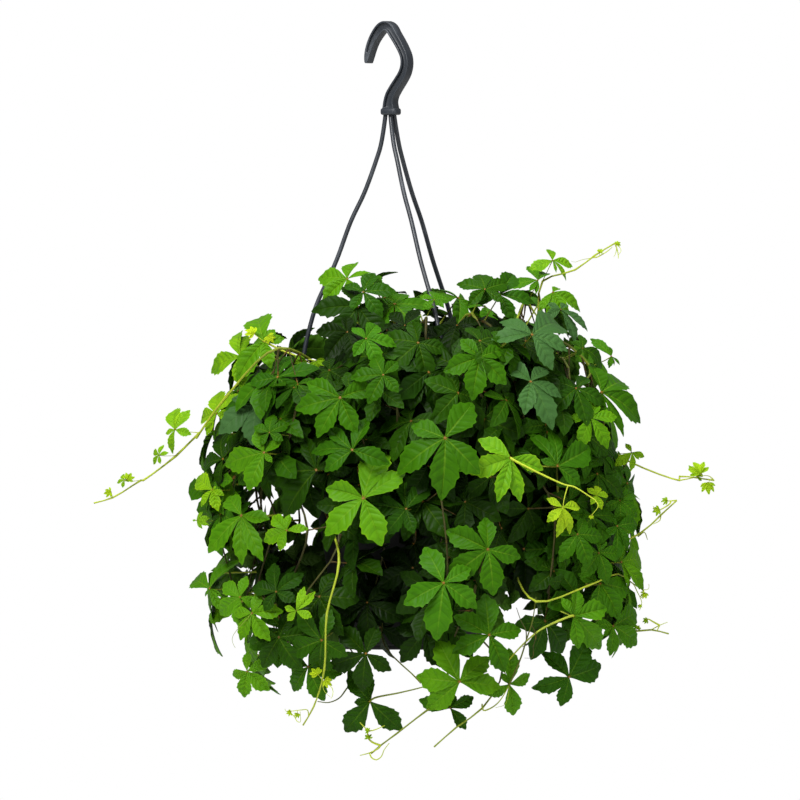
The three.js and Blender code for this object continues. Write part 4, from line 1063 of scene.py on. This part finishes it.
CEILING = [                  # across and up: how high the mound's fill reaches
    (-128, -304), (-109, -264), (-84, -255), (-60, -260), (-36, -246), (-20, -224), (33, -220),
    (70, -220), (100, -222), (120, -246), (136, -276), (153, -300), (172, -322), (190, -350)]
HEM = [                      # across and up: where it ends above the pot's foot
    (-150, -392), (-110, -412), (-70, -438), (90, -440), (150, -424), (190, -405)]
OPENINGS = [                 # across, up and size of the places where it lets the light through
    (-91, -347, 9), (-67, -367, 13), (-121, -408, 11), (-106, -296, 6), (-110, -453, 14)]
HOLLOW = 0.8                 # low in front the fill lies deeper, as a share of the mound's radius
HOLLOW_TOP = (-250, 60)      # below this height it does so, and over which depth
FRAY = 12                    # how far below the ceiling some of it ends
FILL_STEP = (6, 24)          # how far from its stem a filler leaf stands
FILL_SCATTER = (-0.08, 0.14)
FILL_SWING = 150
FILL_UNEVEN = 1.1
FILL_STALK = 0.1             # the tone of its stalk
DEEP_TONE = 0.0              # the tone of a filler leaf far inside: an older leaf, painted darker still as the mound's shade
SURFACE_TONE = 0.38
DEEP = (0.58, 0.38)          # the share of the radius where its tone starts to pale, and over which share
TONE_SCATTER = 0.2
PALEST_FILL = 0.62
LOW_LIGHT = (-420, 50)       # below this height leaves are painted paler, as lit from behind, and over which depth
SIDE_LIGHT = (85, 65)        # and so do those further aside than this
# how much paler that light from behind paints a main leaf, and a filler leaf below: painted light
GLOW = 0.22
FILL_GLOW = 0.17
PALEST_GLOW = 0.84
INNER_SHADE = 0.05
LIGHT_SCATTER = 0.12
# a leaf's tint at random; its highest values paint a slight bluish sheen, a painted reflection
TINT_SCATTER = 0.85
LEAF_STALK = (0.3, 0.9)      # the tone of a main leaf's stalk, in the dark and in the light


def edge_light(hub):
    """How much light comes from behind, painted into a leaf's colour as paleness: it reaches the leaves low
    down and at the sides.
    """
    low = clamp((LOW_LIGHT[0] - hub.z) / LOW_LIGHT[1])
    aside = clamp((abs(hub.x - MOUND_X) - SIDE_LIGHT[0]) / SIDE_LIGHT[1])
    return max(low, aside)


def filler_leaf(point, key, inner, outer, length):
    """A leaf among those of the surface: it looks outwards, hangs from its stem and is darker the deeper it
    lies, partly as an older leaf and partly as painted shade."""
    turn = math.tau * noise_of(key + 0.12)
    step = mix(*FILL_STEP, noise_of(key + 0.22))
    out = mound_normal(point)
    side = Vector((-out.y, out.x, 0)).normalized()
    place = point + side * step * math.cos(turn) + out.cross(side) * step * math.sin(turn)
    fray = FRAY * noise_of(key + 0.52)
    place.z = min(place.z, line_at(CEILING, place.x) - fray)
    reach = max(1, math.hypot(place.x - MOUND_X, place.y))
    hollow = clamp(-place.y / reach) ** 2 * clamp((HOLLOW_TOP[0] - place.z) / HOLLOW_TOP[1])
    limit = mix(outer, min(outer, HOLLOW), hollow)
    scatter = mix(*FILL_SCATTER, noise_of(key + 0.32))
    depth = clamp(reach / mound_radius(place.z) + scatter, inner, limit)
    spread = depth * mound_radius(place.z) / reach
    hub = Vector((MOUND_X + (place.x - MOUND_X) * spread, place.y * spread, place.z))
    hub.z = min(hub.z, line_at(CEILING, hub.x) - fray)
    out = mound_normal(hub)
    normal = (out + LIFT + uneven(key, 0.42, 0.52, 0.62) * FILL_UNEVEN).normalized()
    along = hanging_way(normal, out, FILL_SWING * (noise_of(key + 0.72) - 0.5))
    tone = mix(DEEP_TONE, SURFACE_TONE, clamp((depth - DEEP[0]) / DEEP[1]))
    tone += TONE_SCATTER * (noise_of(key + 0.91) - 0.5) + FILL_GLOW * edge_light(hub)
    return {
        "hub": hub, "out": out, "normal": normal, "along": along, "across": normal.cross(along),
        "length": mix(*length, noise_of(key + 0.82)), "key": key, "tone": clamp(tone, 0, PALEST_FILL)}


def leafy_stretch(path, leaves, nodes):
    """The part of a stem that runs inside the mound, from its arch to its last leaf."""
    last_node = max((i for i, leaf in enumerate(leaves) if leaf["length"]), default=1)
    end = min(range(len(path)), key=lambda k: (path[k] - nodes[last_node]).length)
    inside = []
    for point in path[len(path) // 4:end + 1]:
        reach = math.hypot(point.x - MOUND_X, point.y)
        if point.z > line_at(HEM, point.x) and reach < mound_radius(point.z):
            inside.append(point)
    return inside or path[:end + 1]


def stem_tones(leaves):
    """The tone of a stem at each node: it is dark inside the mound and pale on a runner."""
    runner = not leaves[-1]["length"]
    tones = []
    for leaf in leaves:
        young = runner and leaf["length"] < RUNNER_LEAF
        tones.append(min(leaf["light"], PALEST_STEM) if young else OLD_STEM)
    return tones


def in_opening(leaf):
    """Whether a leaf would shade one of the openings."""
    hub, half = leaf["hub"], 0.5 * leaf["length"]
    return any(math.hypot(hub.x - x, hub.z - z) < size + half for x, z, size in OPENINGS)


def grow(name, leaves, reach, fillers, key):
    """Makes the piece of one stem: its leaves where the frame has them, and filler leaves between."""
    nodes, bends = stem_route(leaves, reach)
    frame_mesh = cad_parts[name].data
    corners = kdtree.KDTree(len(frame_mesh.vertices))
    for k, vertex in enumerate(frame_mesh.vertices):
        corners.insert(vertex.co / MM, k)
    corners.balance()
    form = from_mesh(EMPTY_LEAF)
    path = add_stem(form, bends, nodes, stem_tones(leaves))
    hubs = []
    for leaf, node in zip(leaves, nodes):
        if not leaf["length"]:
            continue
        placed = leaf_clear(leaf, corners)
        if placed:
            chance = noise_of(leaf["key"] + 0.77)
            sheen = 1 if leaf.get("sheen") else TINT_SCATTER * chance
            glow = GLOW * edge_light(placed["hub"]) * (1 - sheen)
            light = leaf["light"] - INNER_SHADE + LIGHT_SCATTER * (chance - 0.5)
            add_leaf(form, placed, True, clamp(max(light, min(light + glow, PALEST_GLOW))), sheen)
            add_stalk(form, node, placed, mix(*LEAF_STALK, clamp(leaf["light"])))
            hubs.append(placed["hub"])
    count, inner, outer, length = fillers
    dressed = leafy_stretch(path, leaves, nodes)
    for k in range(count):
        point = dressed[int((k + noise_of(key + k * 1.3)) / count * len(dressed))]
        leaf = filler_leaf(point, key + 0.01 * k + 37 * k, inner, outer, length)
        if not in_opening(leaf):
            add_leaf(form, leaf, False, leaf["tone"], TINT_SCATTER * noise_of(leaf["key"] + 0.77))
            add_stalk(form, point, leaf, FILL_STALK)
    return form, path + hubs


# A mesh without corners but with the layers of a leaf, with which each stem starts.
EMPTY_LEAF = bpy.data.meshes.new("no_leaf")
empty = bmesh.new()
empty.loops.layers.uv.new("leaflet")
for layer in ("which", "tone", "tint"):
    empty.verts.layers.float.new(layer)
empty.to_mesh(EMPTY_LEAF)
empty.free()

LEAF_TONES = [               # from a shaded old leaf to a young one
    (0.0, (0.0018, 0.0068, 0.0003)), (0.12, (0.005, 0.016, 0.0005)), (0.3, (0.011, 0.038, 0.0008)),
    (0.5, (0.023, 0.086, 0.0012)), (0.62, (0.037, 0.130, 0.002)), (0.78, (0.078, 0.212, 0.003)),
    (0.9, (0.175, 0.335, 0.005)), (1.0, (0.350, 0.480, 0.010))]
STEM_TONES = [               # from the knob of a leaf to a young shoot
    (0.0, (0.200, 0.095, 0.014)), (0.1, (0.040, 0.034, 0.010)), (0.3, (0.075, 0.090, 0.014)),
    (0.6, (0.190, 0.240, 0.020)), (1.0, (0.400, 0.480, 0.030))]


def tone_ramp(tree, value, tones):
    ramp = tree.nodes.new("ShaderNodeValToRGB")
    fill_socket(tree, ramp.inputs[0], value)
    points = ramp.color_ramp.elements
    points.remove(points[0])
    points[0].position, points[0].color = tones[0][0], (*tones[0][1], 1)
    for position, colour in tones[1:]:
        points.new(position).color = (*colour, 1)
    return ramp.outputs[0]


def painted(tree, layer):
    """What add_leaf and paint have written on the corners."""
    return add_node(tree, "ShaderNodeAttribute", {"attribute_name": layer}).outputs["Fac"]


# On a leaflet u runs from foot to tip, with 2 added on its lower face, and v across it.
leaf_finish, tree = new_material("grape_ivy_leaf")
leaflet_map = add_node(tree, "ShaderNodeUVMap", {"uv_map": "leaflet"}).outputs[0]
u, v = add_node(tree, "ShaderNodeSeparateXYZ", Vector=leaflet_map).outputs[:2]
lower_face = maths(tree, "GREATER_THAN", u, 1.5)
along = maths(tree, "SUBTRACT", u, maths(tree, "MULTIPLY", lower_face, 2.0))
across = maths(tree, "ABSOLUTE", maths(tree, "MULTIPLY_ADD", v, 2.0, -1.0))
beat = maths(tree, "PINGPONG", maths(tree, "MULTIPLY_ADD", along, float(FINE_ROWS), -1.0), 1.0)
side_vein = maths(tree, "MULTIPLY", steps(tree, beat, 0.0, 0.22, 1.0, 0.0), steps(tree, across, 1.0, 0.7))
midrib = steps(tree, across, 0.02, 0.1, 1.0, 0.0)
rim = steps(tree, across, 0.86, 1.0, 0.0, 0.09)
mottle = clouds(tree, 85.0, 4.0, 0.6)
cells = add_node(
    tree, "ShaderNodeTexVoronoi", Vector=place_on_piece(tree), Scale=900.0).outputs["Distance"]
tone, tint = painted(tree, "tone"), painted(tree, "tint")

# The tone, from dark to pale, is mottled, a little darker along the side veins and paler at the rim.
uneven_tone = maths(tree, "MULTIPLY_ADD", mottle, 0.2, maths(tree, "SUBTRACT", tone, 0.085))
uneven_tone = maths(tree, "MULTIPLY_ADD", side_vein, -0.055, uneven_tone)
uneven_tone = maths(tree, "MULTIPLY_ADD", rim, tone, uneven_tone)
skin = tone_ramp(tree, uneven_tone, LEAF_TONES)

# Over it come the pale midrib, a painted bluish sheen (the sky's reflection) on some leaves, the paler lower
# face and a brown knob.
lit = steps(tree, tone, 0.1, 0.6, 0.12, 1.0)
pale_rib = maths(tree, "MULTIPLY", midrib, steps(tree, along, 0.1, 0.9, 0.5, 0.2))
knob = steps(tree, along, 0.03, 0.07, 0.8, 0.0)
for share, colour, kind in (
        (maths(tree, "MULTIPLY", pale_rib, lit), (0.14, 0.26, 0.012), "MIX"),
        (steps(tree, tint, 0.55, 0.85, 0.0, 0.4), (0.8, 1.0, 2.2), "MULTIPLY"),
        (steps(tree, tint, 0.9, 1.0, 0.0, 0.5), (0.065, 0.155, 0.048), "MIX"),
        (maths(tree, "MULTIPLY", lower_face, 0.4), (0.07, 0.15, 0.02), "MIX"),
        (maths(tree, "MULTIPLY", knob, lit), (0.20, 0.10, 0.015), "MIX")):
    skin = blend_colours(tree, share, skin, colour, kind)

# The relief swells between the side veins, sinks along the midrib and has small cells.
swell = maths(tree, "MULTIPLY", steps(tree, beat, 0.0, 0.8), steps(tree, across, 1.0, 0.5))
groove = maths(tree, "MULTIPLY_ADD", midrib, -0.6, swell)
relief = maths(tree, "MULTIPLY_ADD", cells, 0.12, groove)
bumps = add_node(tree, "ShaderNodeBump", Strength=0.5, Distance=0.0009, Height=relief)
close_material(
    tree, Base_Color=skin, Roughness=steps(tree, mottle, 0.3, 0.7, 0.34, 0.48),
    Specular_IOR_Level=0.05, Normal=bumps.outputs[0])

stem_finish, tree = new_material("grape_ivy_stem")
bark = place_group(tree, grain, Scale=160.0, Detail=4.0, Roughness=0.5, Strength=0.3, Depth=0.0004)
aged = maths(
    tree, "MULTIPLY_ADD", bark["Clouds"], 0.3, maths(tree, "SUBTRACT", painted(tree, "tone"), 0.15))
close_material(
    tree, Base_Color=tone_ramp(tree, aged, STEM_TONES), Roughness=0.5, Specular_IOR_Level=0.15,
    Normal=bark["Normal"])


def finish_stem(name, form):
    return finish_piece(name + "_grown", form, [leaf_finish, stem_finish], name, 40)


# The stems in front, whose leaves stand where the photograph shows them, with the young growth at
# their ends: buds of half-folded leaflets and thin tendrils, each from its stem or a leaf's hub.
FRONT_FILLERS = (18, 0.45, 0.97, (22, 34))
FILL_KEYS = 20000            # filler leaves take their chances apart from the main ones
SHEEN_LEAVES = ((3, 2), (14, 2), (15, 1), (16, 1))   # stem and leaf of those that look bluish
# stem and leaf of those painted with a bluish sheen, a painted reflection of the sky
# the photograph and in places moved apart; those of (1, 4) and (16, 6) are guessed.
FINGERS = {
    (1, 1): ((-172, 26), (-97, 23), (0, 13), (79, 20), (111, 25)),
    (1, 3): ((-133, 15), (-74, 16), (-30, 9), (41, 4), (140, 18)),
    (1, 4): ((-60, 8), (-20, 10), (20, 10), (60, 8), (180, 3)),
    (1, 5): ((-130, 7), (-68, 18), (-28, 10), (67, 30), (146, 21)),
    (2, 4): ((-167, 8), (-118, 17), (-16, 13), (67, 18), (108, 16)),
    (3, 1): ((-137, 34), (-76, 20), (11, 15), (60, 12), (114, 28)),
    (3, 2): ((-145, 37), (-96, 32), (-17, 26), (33, 39), (163, 18)),
    (3, 4): ((-142, 37), (-93, 36), (-62, 38), (-7, 22), (123, 20)),
    (4, 3): ((-167, 32), (-116, 31), (-55, 9), (40, 17), (109, 18)),
    (4, 4): ((-163, 19), (-122, 16), (11, 16), (84, 12), (138, 16)),
    (5, 3): ((-179, 37), (-134, 43), (30, 14), (79, 27), (114, 26)),
    (5, 5): ((-137, 10), (-22, 13), (42, 20), (74, 19), (163, 9)),
    (7, 3): ((-171, 35), (-121, 34), (-65, 29), (27, 27), (153, 28)),
    (7, 4): ((-151, 26), (-19, 28), (63, 27), (140, 25), (172, 32)),
    (7, 5): ((-141, 39), (-66, 39), (40, 36), (78, 42), (156, 28)),
    (8, 5): ((-131, 30), (-49, 32), (96, 23), (134, 29), (180, 12)),
    (9, 4): ((-130, 25), (-68, 19), (56, 27), (96, 28), (170, 26)),
    (10, 3): ((-156, 43), (-90, 45), (-39, 37), (49, 35), (154, 27)),
    (10, 4): ((-158, 34), (-96, 43), (-33, 31), (29, 24), (113, 31)),
    (11, 5): ((-136, 32), (-2, 31), (48, 29), (122, 37), (172, 33)),
    (11, 6): ((-50, 20), (26, 20), (72, 12), (123, 12), (163, 24)),
    (12, 2): ((-162, 32), (-106, 34), (-76, 33), (-15, 26), (145, 28)),
    (12, 3): ((-156, 30), (-63, 30), (17, 25), (92, 31), (145, 30)),
    (12, 4): ((-144, 18), (-75, 24), (16, 18), (86, 27), (125, 10)),
    (14, 2): ((-105, 24), (-55, 38), (-16, 26), (47, 17), (135, 23)),
    (14, 3): ((-36, 22), (27, 28), (88, 30), (116, 33), (150, 13)),
    (14, 4): ((-139, 15), (-94, 22), (-60, 20), (10, 13), (153, 14)),
    (14, 5): ((-76, 25), (-46, 34), (9, 25), (74, 21), (119, 16)),
    (14, 6): ((-156, 28), (-100, 23), (13, 27), (64, 31), (125, 27)),
    (15, 1): ((-46, 29), (-16, 29), (38, 33), (142, 26), (173, 30)),
    (15, 6): ((-96, 21), (-49, 30), (-10, 24), (80, 22), (147, 18)),
    (16, 1): ((-164, 12), (-58, 26), (-24, 25), (53, 8), (153, 11)),
    (16, 2): ((-101, 8), (-63, 7), (-38, 9), (100, 10), (130, 21)),
    (16, 3): ((-80, 20), (-53, 37), (-20, 37), (39, 27), (98, 24)),
    (16, 4): ((-137, 15), (-80, 14), (-40, 8), (-11, 10), (114, 8)),
    (16, 6): ((-40, 5), (30, 5), (85, 5), (115, 10), (150, 4)),
    (17, 1): ((-133, 7), (-50, 9), (-12, 19), (89, 11), (138, 10)),
    (17, 4): ((-135, 12), (-85, 28), (-50, 20), (19, 17), (123, 8)),
    (17, 5): ((-70, 19), (-41, 27), (16, 21), (95, 21), (125, 15)),
    (17, 6): ((-126, 10), (-89, 22), (-29, 24), (28, 23), (170, 14)),
    (18, 2): ((-137, 11), (-98, 9), (63, 14), (111, 13), (179, 23)),
    (18, 3): ((-134, 17), (-91, 19), (-50, 22), (-13, 24), (55, 8)),
    (18, 4): ((-167, 19), (-60, 9), (-34, 17), (-2, 15), (103, 10)),
}
TENDRILS = {                 # stem: radius, tone, then the bends, across and up
    3: [(0.9, 0.92, (-91, -233), (-75.5, -240.6), (-64.8, -244.3), (-57, -246.5), (-52.7, -247.3)),
        (0.3, 0.5, (-112.2, -449.7), (-114.5, -453.4), (-114.5, -458), (-112.5, -462))],
    6: [(0.45, 0.95, (-56.1, -511.1), (-58.6, -508.7), (-64.2, -508.7), (-74.8, -509.5), (-75.6, -507.9)),
        (0.4, 0.95, (-74, -509.5), (-68.3, -513.6), (-66.7, -516.8), (-64.2, -517.7), (-64.2, -509.6)),
        (0.4, 0.95, (-47, -487), (-43.9, -488.4), (-39.8, -492.5), (-39.8, -497.3), (-41, -499.7)),
        (0.3, 0.9, (-47.2, -488), (-47.2, -490), (-45.5, -494.9), (-41.5, -498.5))],
    8: [(0.8, 0.4, (-27.6, -484), (-28, -491), (-35, -499.7), (-43.1, -503), (-51.2, -502.2)),
        (0.8, 0.5, (-12, -502), (-9, -499.7), (10.5, -495.5), (28.6, -491), (40, -487))],
    11: [(0.65, 0.85, (-4, -535), (-5.7, -537.2), (-12.2, -540.4), (-19.5, -542.4)),
         (0.6, 0.85, (-12.2, -540.4), (-11, -543.7), (-7.3, -545.7), (-3.2, -542.9), (-1.7, -538.8),
          (2.5, -533.1)),
         (0.9, 0.9, (-4, -535), (-10.6, -532.3), (-13.8, -528.2), (-13.8, -524.2), (-19.5, -517.7)),
         (0.6, 0.9, (-13.8, -525), (-8.9, -523.4), (-0.8, -520))],
    12: [(1, 0.95, (93, -320), (94.7, -321.2), (133.2, -339.8), (139.9, -341.3), (155.5, -350.9)),
         (0.5, 0.95, (135, -341), (133, -350), (131.8, -358)),
         (0.4, 0.95, (155.5, -350.9), (158.4, -355.4), (153.2, -362.8)),
         (0.7, 0.7, (75, -504), (71.8, -504.1), (72.8, -508.6), (79.8, -506.1), (85.3, -501.1), (92, -490)),
         (0.3, 0.6, (92, -490), (91.4, -497), (88.9, -504.1), (81.8, -506.6)),
         (0.8, 0.35, (92, -490), (100.9, -468.9), (104.9, -455.9), (109.4, -441.8), (112, -424)),
         (0.5, 0.2, (104.9, -455.9), (104.4, -448.4), (100.9, -441.8), (97.4, -431.8)),
         (0.35, 0.1, (109, -444), (112, -452.9), (110, -460.9), (109.4, -468.9), (103.4, -469.4))],
    13: [(0.5, 0.95, (182, -412), (185.5, -414.8), (187.9, -419.7), (191.6, -428.6), (189.9, -434.3)),
         (0.4, 0.95, (184, -413), (192.8, -418.9), (196.8, -418.1), (196.8, -414.5)),
         (0.7, 0.95, (192.8, -418.9), (193, -423), (191, -425))],
    14: [(1, 0.8, (140, -438), (139.1, -437.8), (116, -447.9), (105.9, -455.9), (97.4, -464.4), (86, -478))],
    16: [(0.6, 0.8, (220.2, -336.4), (228, -335.5), (235.1, -334)),
         (0.45, 0.85, (246, -337), (242.6, -334), (239, -333.4), (235.1, -334))],
    17: [(0.45, 0.9, (199, -449), (205, -445.7), (211.1, -443.3)),
         (0.8, 0.9, (205, -445.7), (199.3, -442.5), (196.1, -440.9), (194, -443.3)),
         (0.6, 0.9, (205, -446.6), (203, -450.2))],
    18: [(0.6, 0.95, (172, -159), (174.2, -166.1), (174.5, -170.4)),
         (0.35, 0.95, (172, -159), (175, -161.5), (176.6, -164.2), (174.5, -168)),
         (0.35, 0.9, (173, -163), (172.5, -166.5), (171, -169.2)),
         (0.6, 0.9, (156.8, -168), (156.8, -169.8), (165.5, -165.5), (169.8, -162)),
         (0.25, 0.8, (154, -170), (147, -171.5), (142, -173.2), (139, -172.5))],
    19: [(0.6, 0.92, (218, -352), (211.5, -352.4), (207.1, -351.8)),
         (0.7, 0.92, (214, -354), (212.7, -354.6), (205.9, -358.9), (202.7, -360.2), (200.3, -356.4)),
         (0.5, 0.9, (204.6, -364), (205.3, -367), (200.3, -369.8)),
         (0.6, 0.6, (190, -377), (189.1, -379), (193.6, -375.8), (196, -381.5))]}
BUDS = {                     # stem: across, up, length, turn, tone
    2: [(-206, -345.5, 6, 190, 0.95), (-194, -336.5, 7, 60, 0.92)],
    3: [(-52.7, -247.3, 10, -60, 0.84), (-60, -247, 10, 195, 0.8), (-98.3, -227, 8, 150, 1),
        (-88.5, -228.5, 7, -50, 1)],
    6: [(-50.5, -482, 8, 130, 0.98), (-46, -486, 7, -30, 0.98), (-66, -511, 4, -110, 0.95),
        (-71, -510, 4, 200, 0.95)],
    11: [(-13, -530, 5, 100, 0.92), (-12.5, -524, 4, 160, 0.92)],
    12: [(153.2, -362.8, 3, -100, 0.95)],
    13: [(194, -421, 5, -110, 0.95), (190, -430, 3, -80, 0.95)],
    16: [(236, -332, 12, 115, 0.9), (241, -338.5, 9, -86, 0.92)],
    17: [(188, -448.5, 4, 60, 0.9), (196, -441.5, 4, 200, 0.92)],
    18: [(160, -166, 4, 60, 0.95), (173, -160, 4, 40, 0.95)],
    19: [(205, -358.5, 6, 200, 0.92), (211, -352, 5, 185, 0.92)]}
BUD_SPREAD = 0.55
BUD_FORWARD = 2
TENDRIL_TIP = 0.45           # its radius at the tip, as a share of that at its foot
TENDRIL_SIDES = 5
TENDRIL_STEP = 2.5
TENDRIL_RISE = 1.2           # each bend of a tendril stands this much nearer than the one before


def add_tendril(form, carriers, radius, tone, bends):
    """A tapering tendril from the nearest point of what carries it, which is added to the carriers."""
    start = min(carriers, key=lambda point: math.hypot(point.x - bends[0][0], point.z - bends[0][1]))
    route = [start]
    for k, (x, z) in enumerate(bends[1:], 1):
        route.append(Vector((x, start.y - k * TENDRIL_RISE, z)))
    path = smooth_path(route, TENDRIL_STEP)
    radii = [mix(radius, TENDRIL_TIP * radius, k / (len(path) - 1)) for k in range(len(path))]
    paint(form, add_tube(form, path, radii, TENDRIL_SIDES), tone)
    carriers.extend(path)


def add_bud(form, carriers, bud, key):
    """A young leaf whose leaflets are still half folded, on a stalk of its own."""
    x, z, length, turn, tone = bud
    foot = min(carriers, key=lambda point: math.hypot(point.x - x, point.z - z))
    normal = Vector((0.3 * (noise_of(key) - 0.5), -1, 0.3)).normalized()
    along = Vector((math.cos(math.radians(turn)), 0, math.sin(math.radians(turn))))
    along = (along - normal * along.dot(normal)).normalized()
    leaf = {
        "hub": Vector((x, foot.y - BUD_FORWARD, z)), "out": Vector((0, -1, 0)), "normal": normal,
        "along": along, "across": normal.cross(along), "length": length, "key": key,
        "spread": BUD_SPREAD}
    add_leaf(form, leaf, False, tone, 0)
    add_stalk(form, foot, leaf, tone)


for i, rows in enumerate(FRONT_STEMS):
    key = 100 * (i + 1)
    name = f"front_stem_{i + 1:02d}"
    leaves = [front_leaf(row, key + j) for j, row in enumerate(rows)]
    for j, leaf in enumerate(leaves):
        leaf["fingers"] = FINGERS.get((i + 1, j + 1))
        leaf["sheen"] = (i + 1, j + 1) in SHEEN_LEAVES
    form, carriers = grow(name, leaves, root_reach(leaves[0]["hub"].z), FRONT_FILLERS, key + FILL_KEYS)
    for radius, tone, *bends in TENDRILS.get(i + 1, ()):
        add_tendril(form, carriers, radius, tone, bends)
    for number, bud in enumerate(BUDS.get(i + 1, ())):
        add_bud(form, carriers, bud, key + 60 + number)
    finish_stem(name, form)

# The stems round the sides and the back, which the photograph doesn't show: the same kind of
# growth, evenly round the pot.
BACK_COUNT = 14
BACK_FIRST = -9              # degrees round the mound
BACK_STEP = 15
BACK_LEAVES = 4
BACK_SWAY = 4                # degrees by which leaves stand left and right of their stem
BACK_SWING = 50
BACK_TOP = -222              # the height of the first leaves
BACK_TILT = 14               # how much higher they are at the right
BACK_DROP = 57               # from one leaf down to the next
BACK_SPARE = 10              # and how much more at the sides
BACK_SCATTER = 16
BACK_DEPTH = (0.94, 0.1)     # how far out they stand, as a share of the radius, and its scatter
BACK_LENGTH = (30, 42)
BACK_KEY = 5000
BACK_FILLERS = (28, 0.6, 0.95, (26, 38))
for i in range(BACK_COUNT):
    key = BACK_KEY + 100 * i
    leaves = []
    for j in range(BACK_LEAVES):
        side = 1 if j % 2 else -1
        angle = math.radians(
            BACK_FIRST + BACK_STEP * i + BACK_SWAY * (side + noise_of(key + j) - 0.5))
        top = BACK_TOP + BACK_TILT * math.cos(angle)
        drop = BACK_DROP + BACK_SPARE * abs(math.cos(angle))
        fall = drop * (j + 0.5 * (i % 2)) - BACK_SCATTER * (noise_of(key + j + 0.5) - 0.5)
        depth = BACK_DEPTH[0] - BACK_DEPTH[1] * noise_of(key + j + 0.7)
        length = mix(*BACK_LENGTH, noise_of(key + j + 0.9))
        swing = side * BACK_SWING * noise_of(key + j + 0.6)
        leaves.append(ruled_leaf(angle, top - fall, depth, length, swing, key + j))
    name = f"back_stem_{i + 1:02d}"
    form, carriers = grow(name, leaves, root_reach(leaves[0]["hub"].z), BACK_FILLERS, key + FILL_KEYS)
    finish_stem(name, form)

# Three short stems in the middle of the pot, which close the crown between the hanger's strands.
# They are of the same growth as the others, and their leaves lie nearly flat.
CROWN_COUNT = 3
CROWN_ROOT = 13              # how far from the pot's middle they root
CROWN_FIRST = 116
CROWN_STEP = 120
CROWN_LEAVES = 3
CROWN_TOP = -200
CROWN_DROP = 7
CROWN_DEPTH = (0.3, 0.13)
CROWN_TURN = 0.35
CROWN_SWING = 40
CROWN_LENGTH = (24, 34)
CROWN_KEY = 8000
CROWN_FILLERS = (22, 0.1, 0.9, (22, 34))
for i in range(CROWN_COUNT):
    key = CROWN_KEY + 100 * i
    turn = math.radians(CROWN_FIRST + CROWN_STEP * i)
    leaves = []
    for j in range(CROWN_LEAVES):
        depth = CROWN_DEPTH[0] + CROWN_DEPTH[1] * j
        length = mix(*CROWN_LENGTH, noise_of(key + j))
        leaves.append(ruled_leaf(
            turn + CROWN_TURN * (j - 1), CROWN_TOP - CROWN_DROP * j, depth, length,
            CROWN_SWING * (j - 1), key + j))
    name = f"crown_stem_{i + 1}"
    form, carriers = grow(name, leaves, CROWN_ROOT, CROWN_FILLERS, key + FILL_KEYS)
    finish_stem(name, form)

low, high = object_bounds()
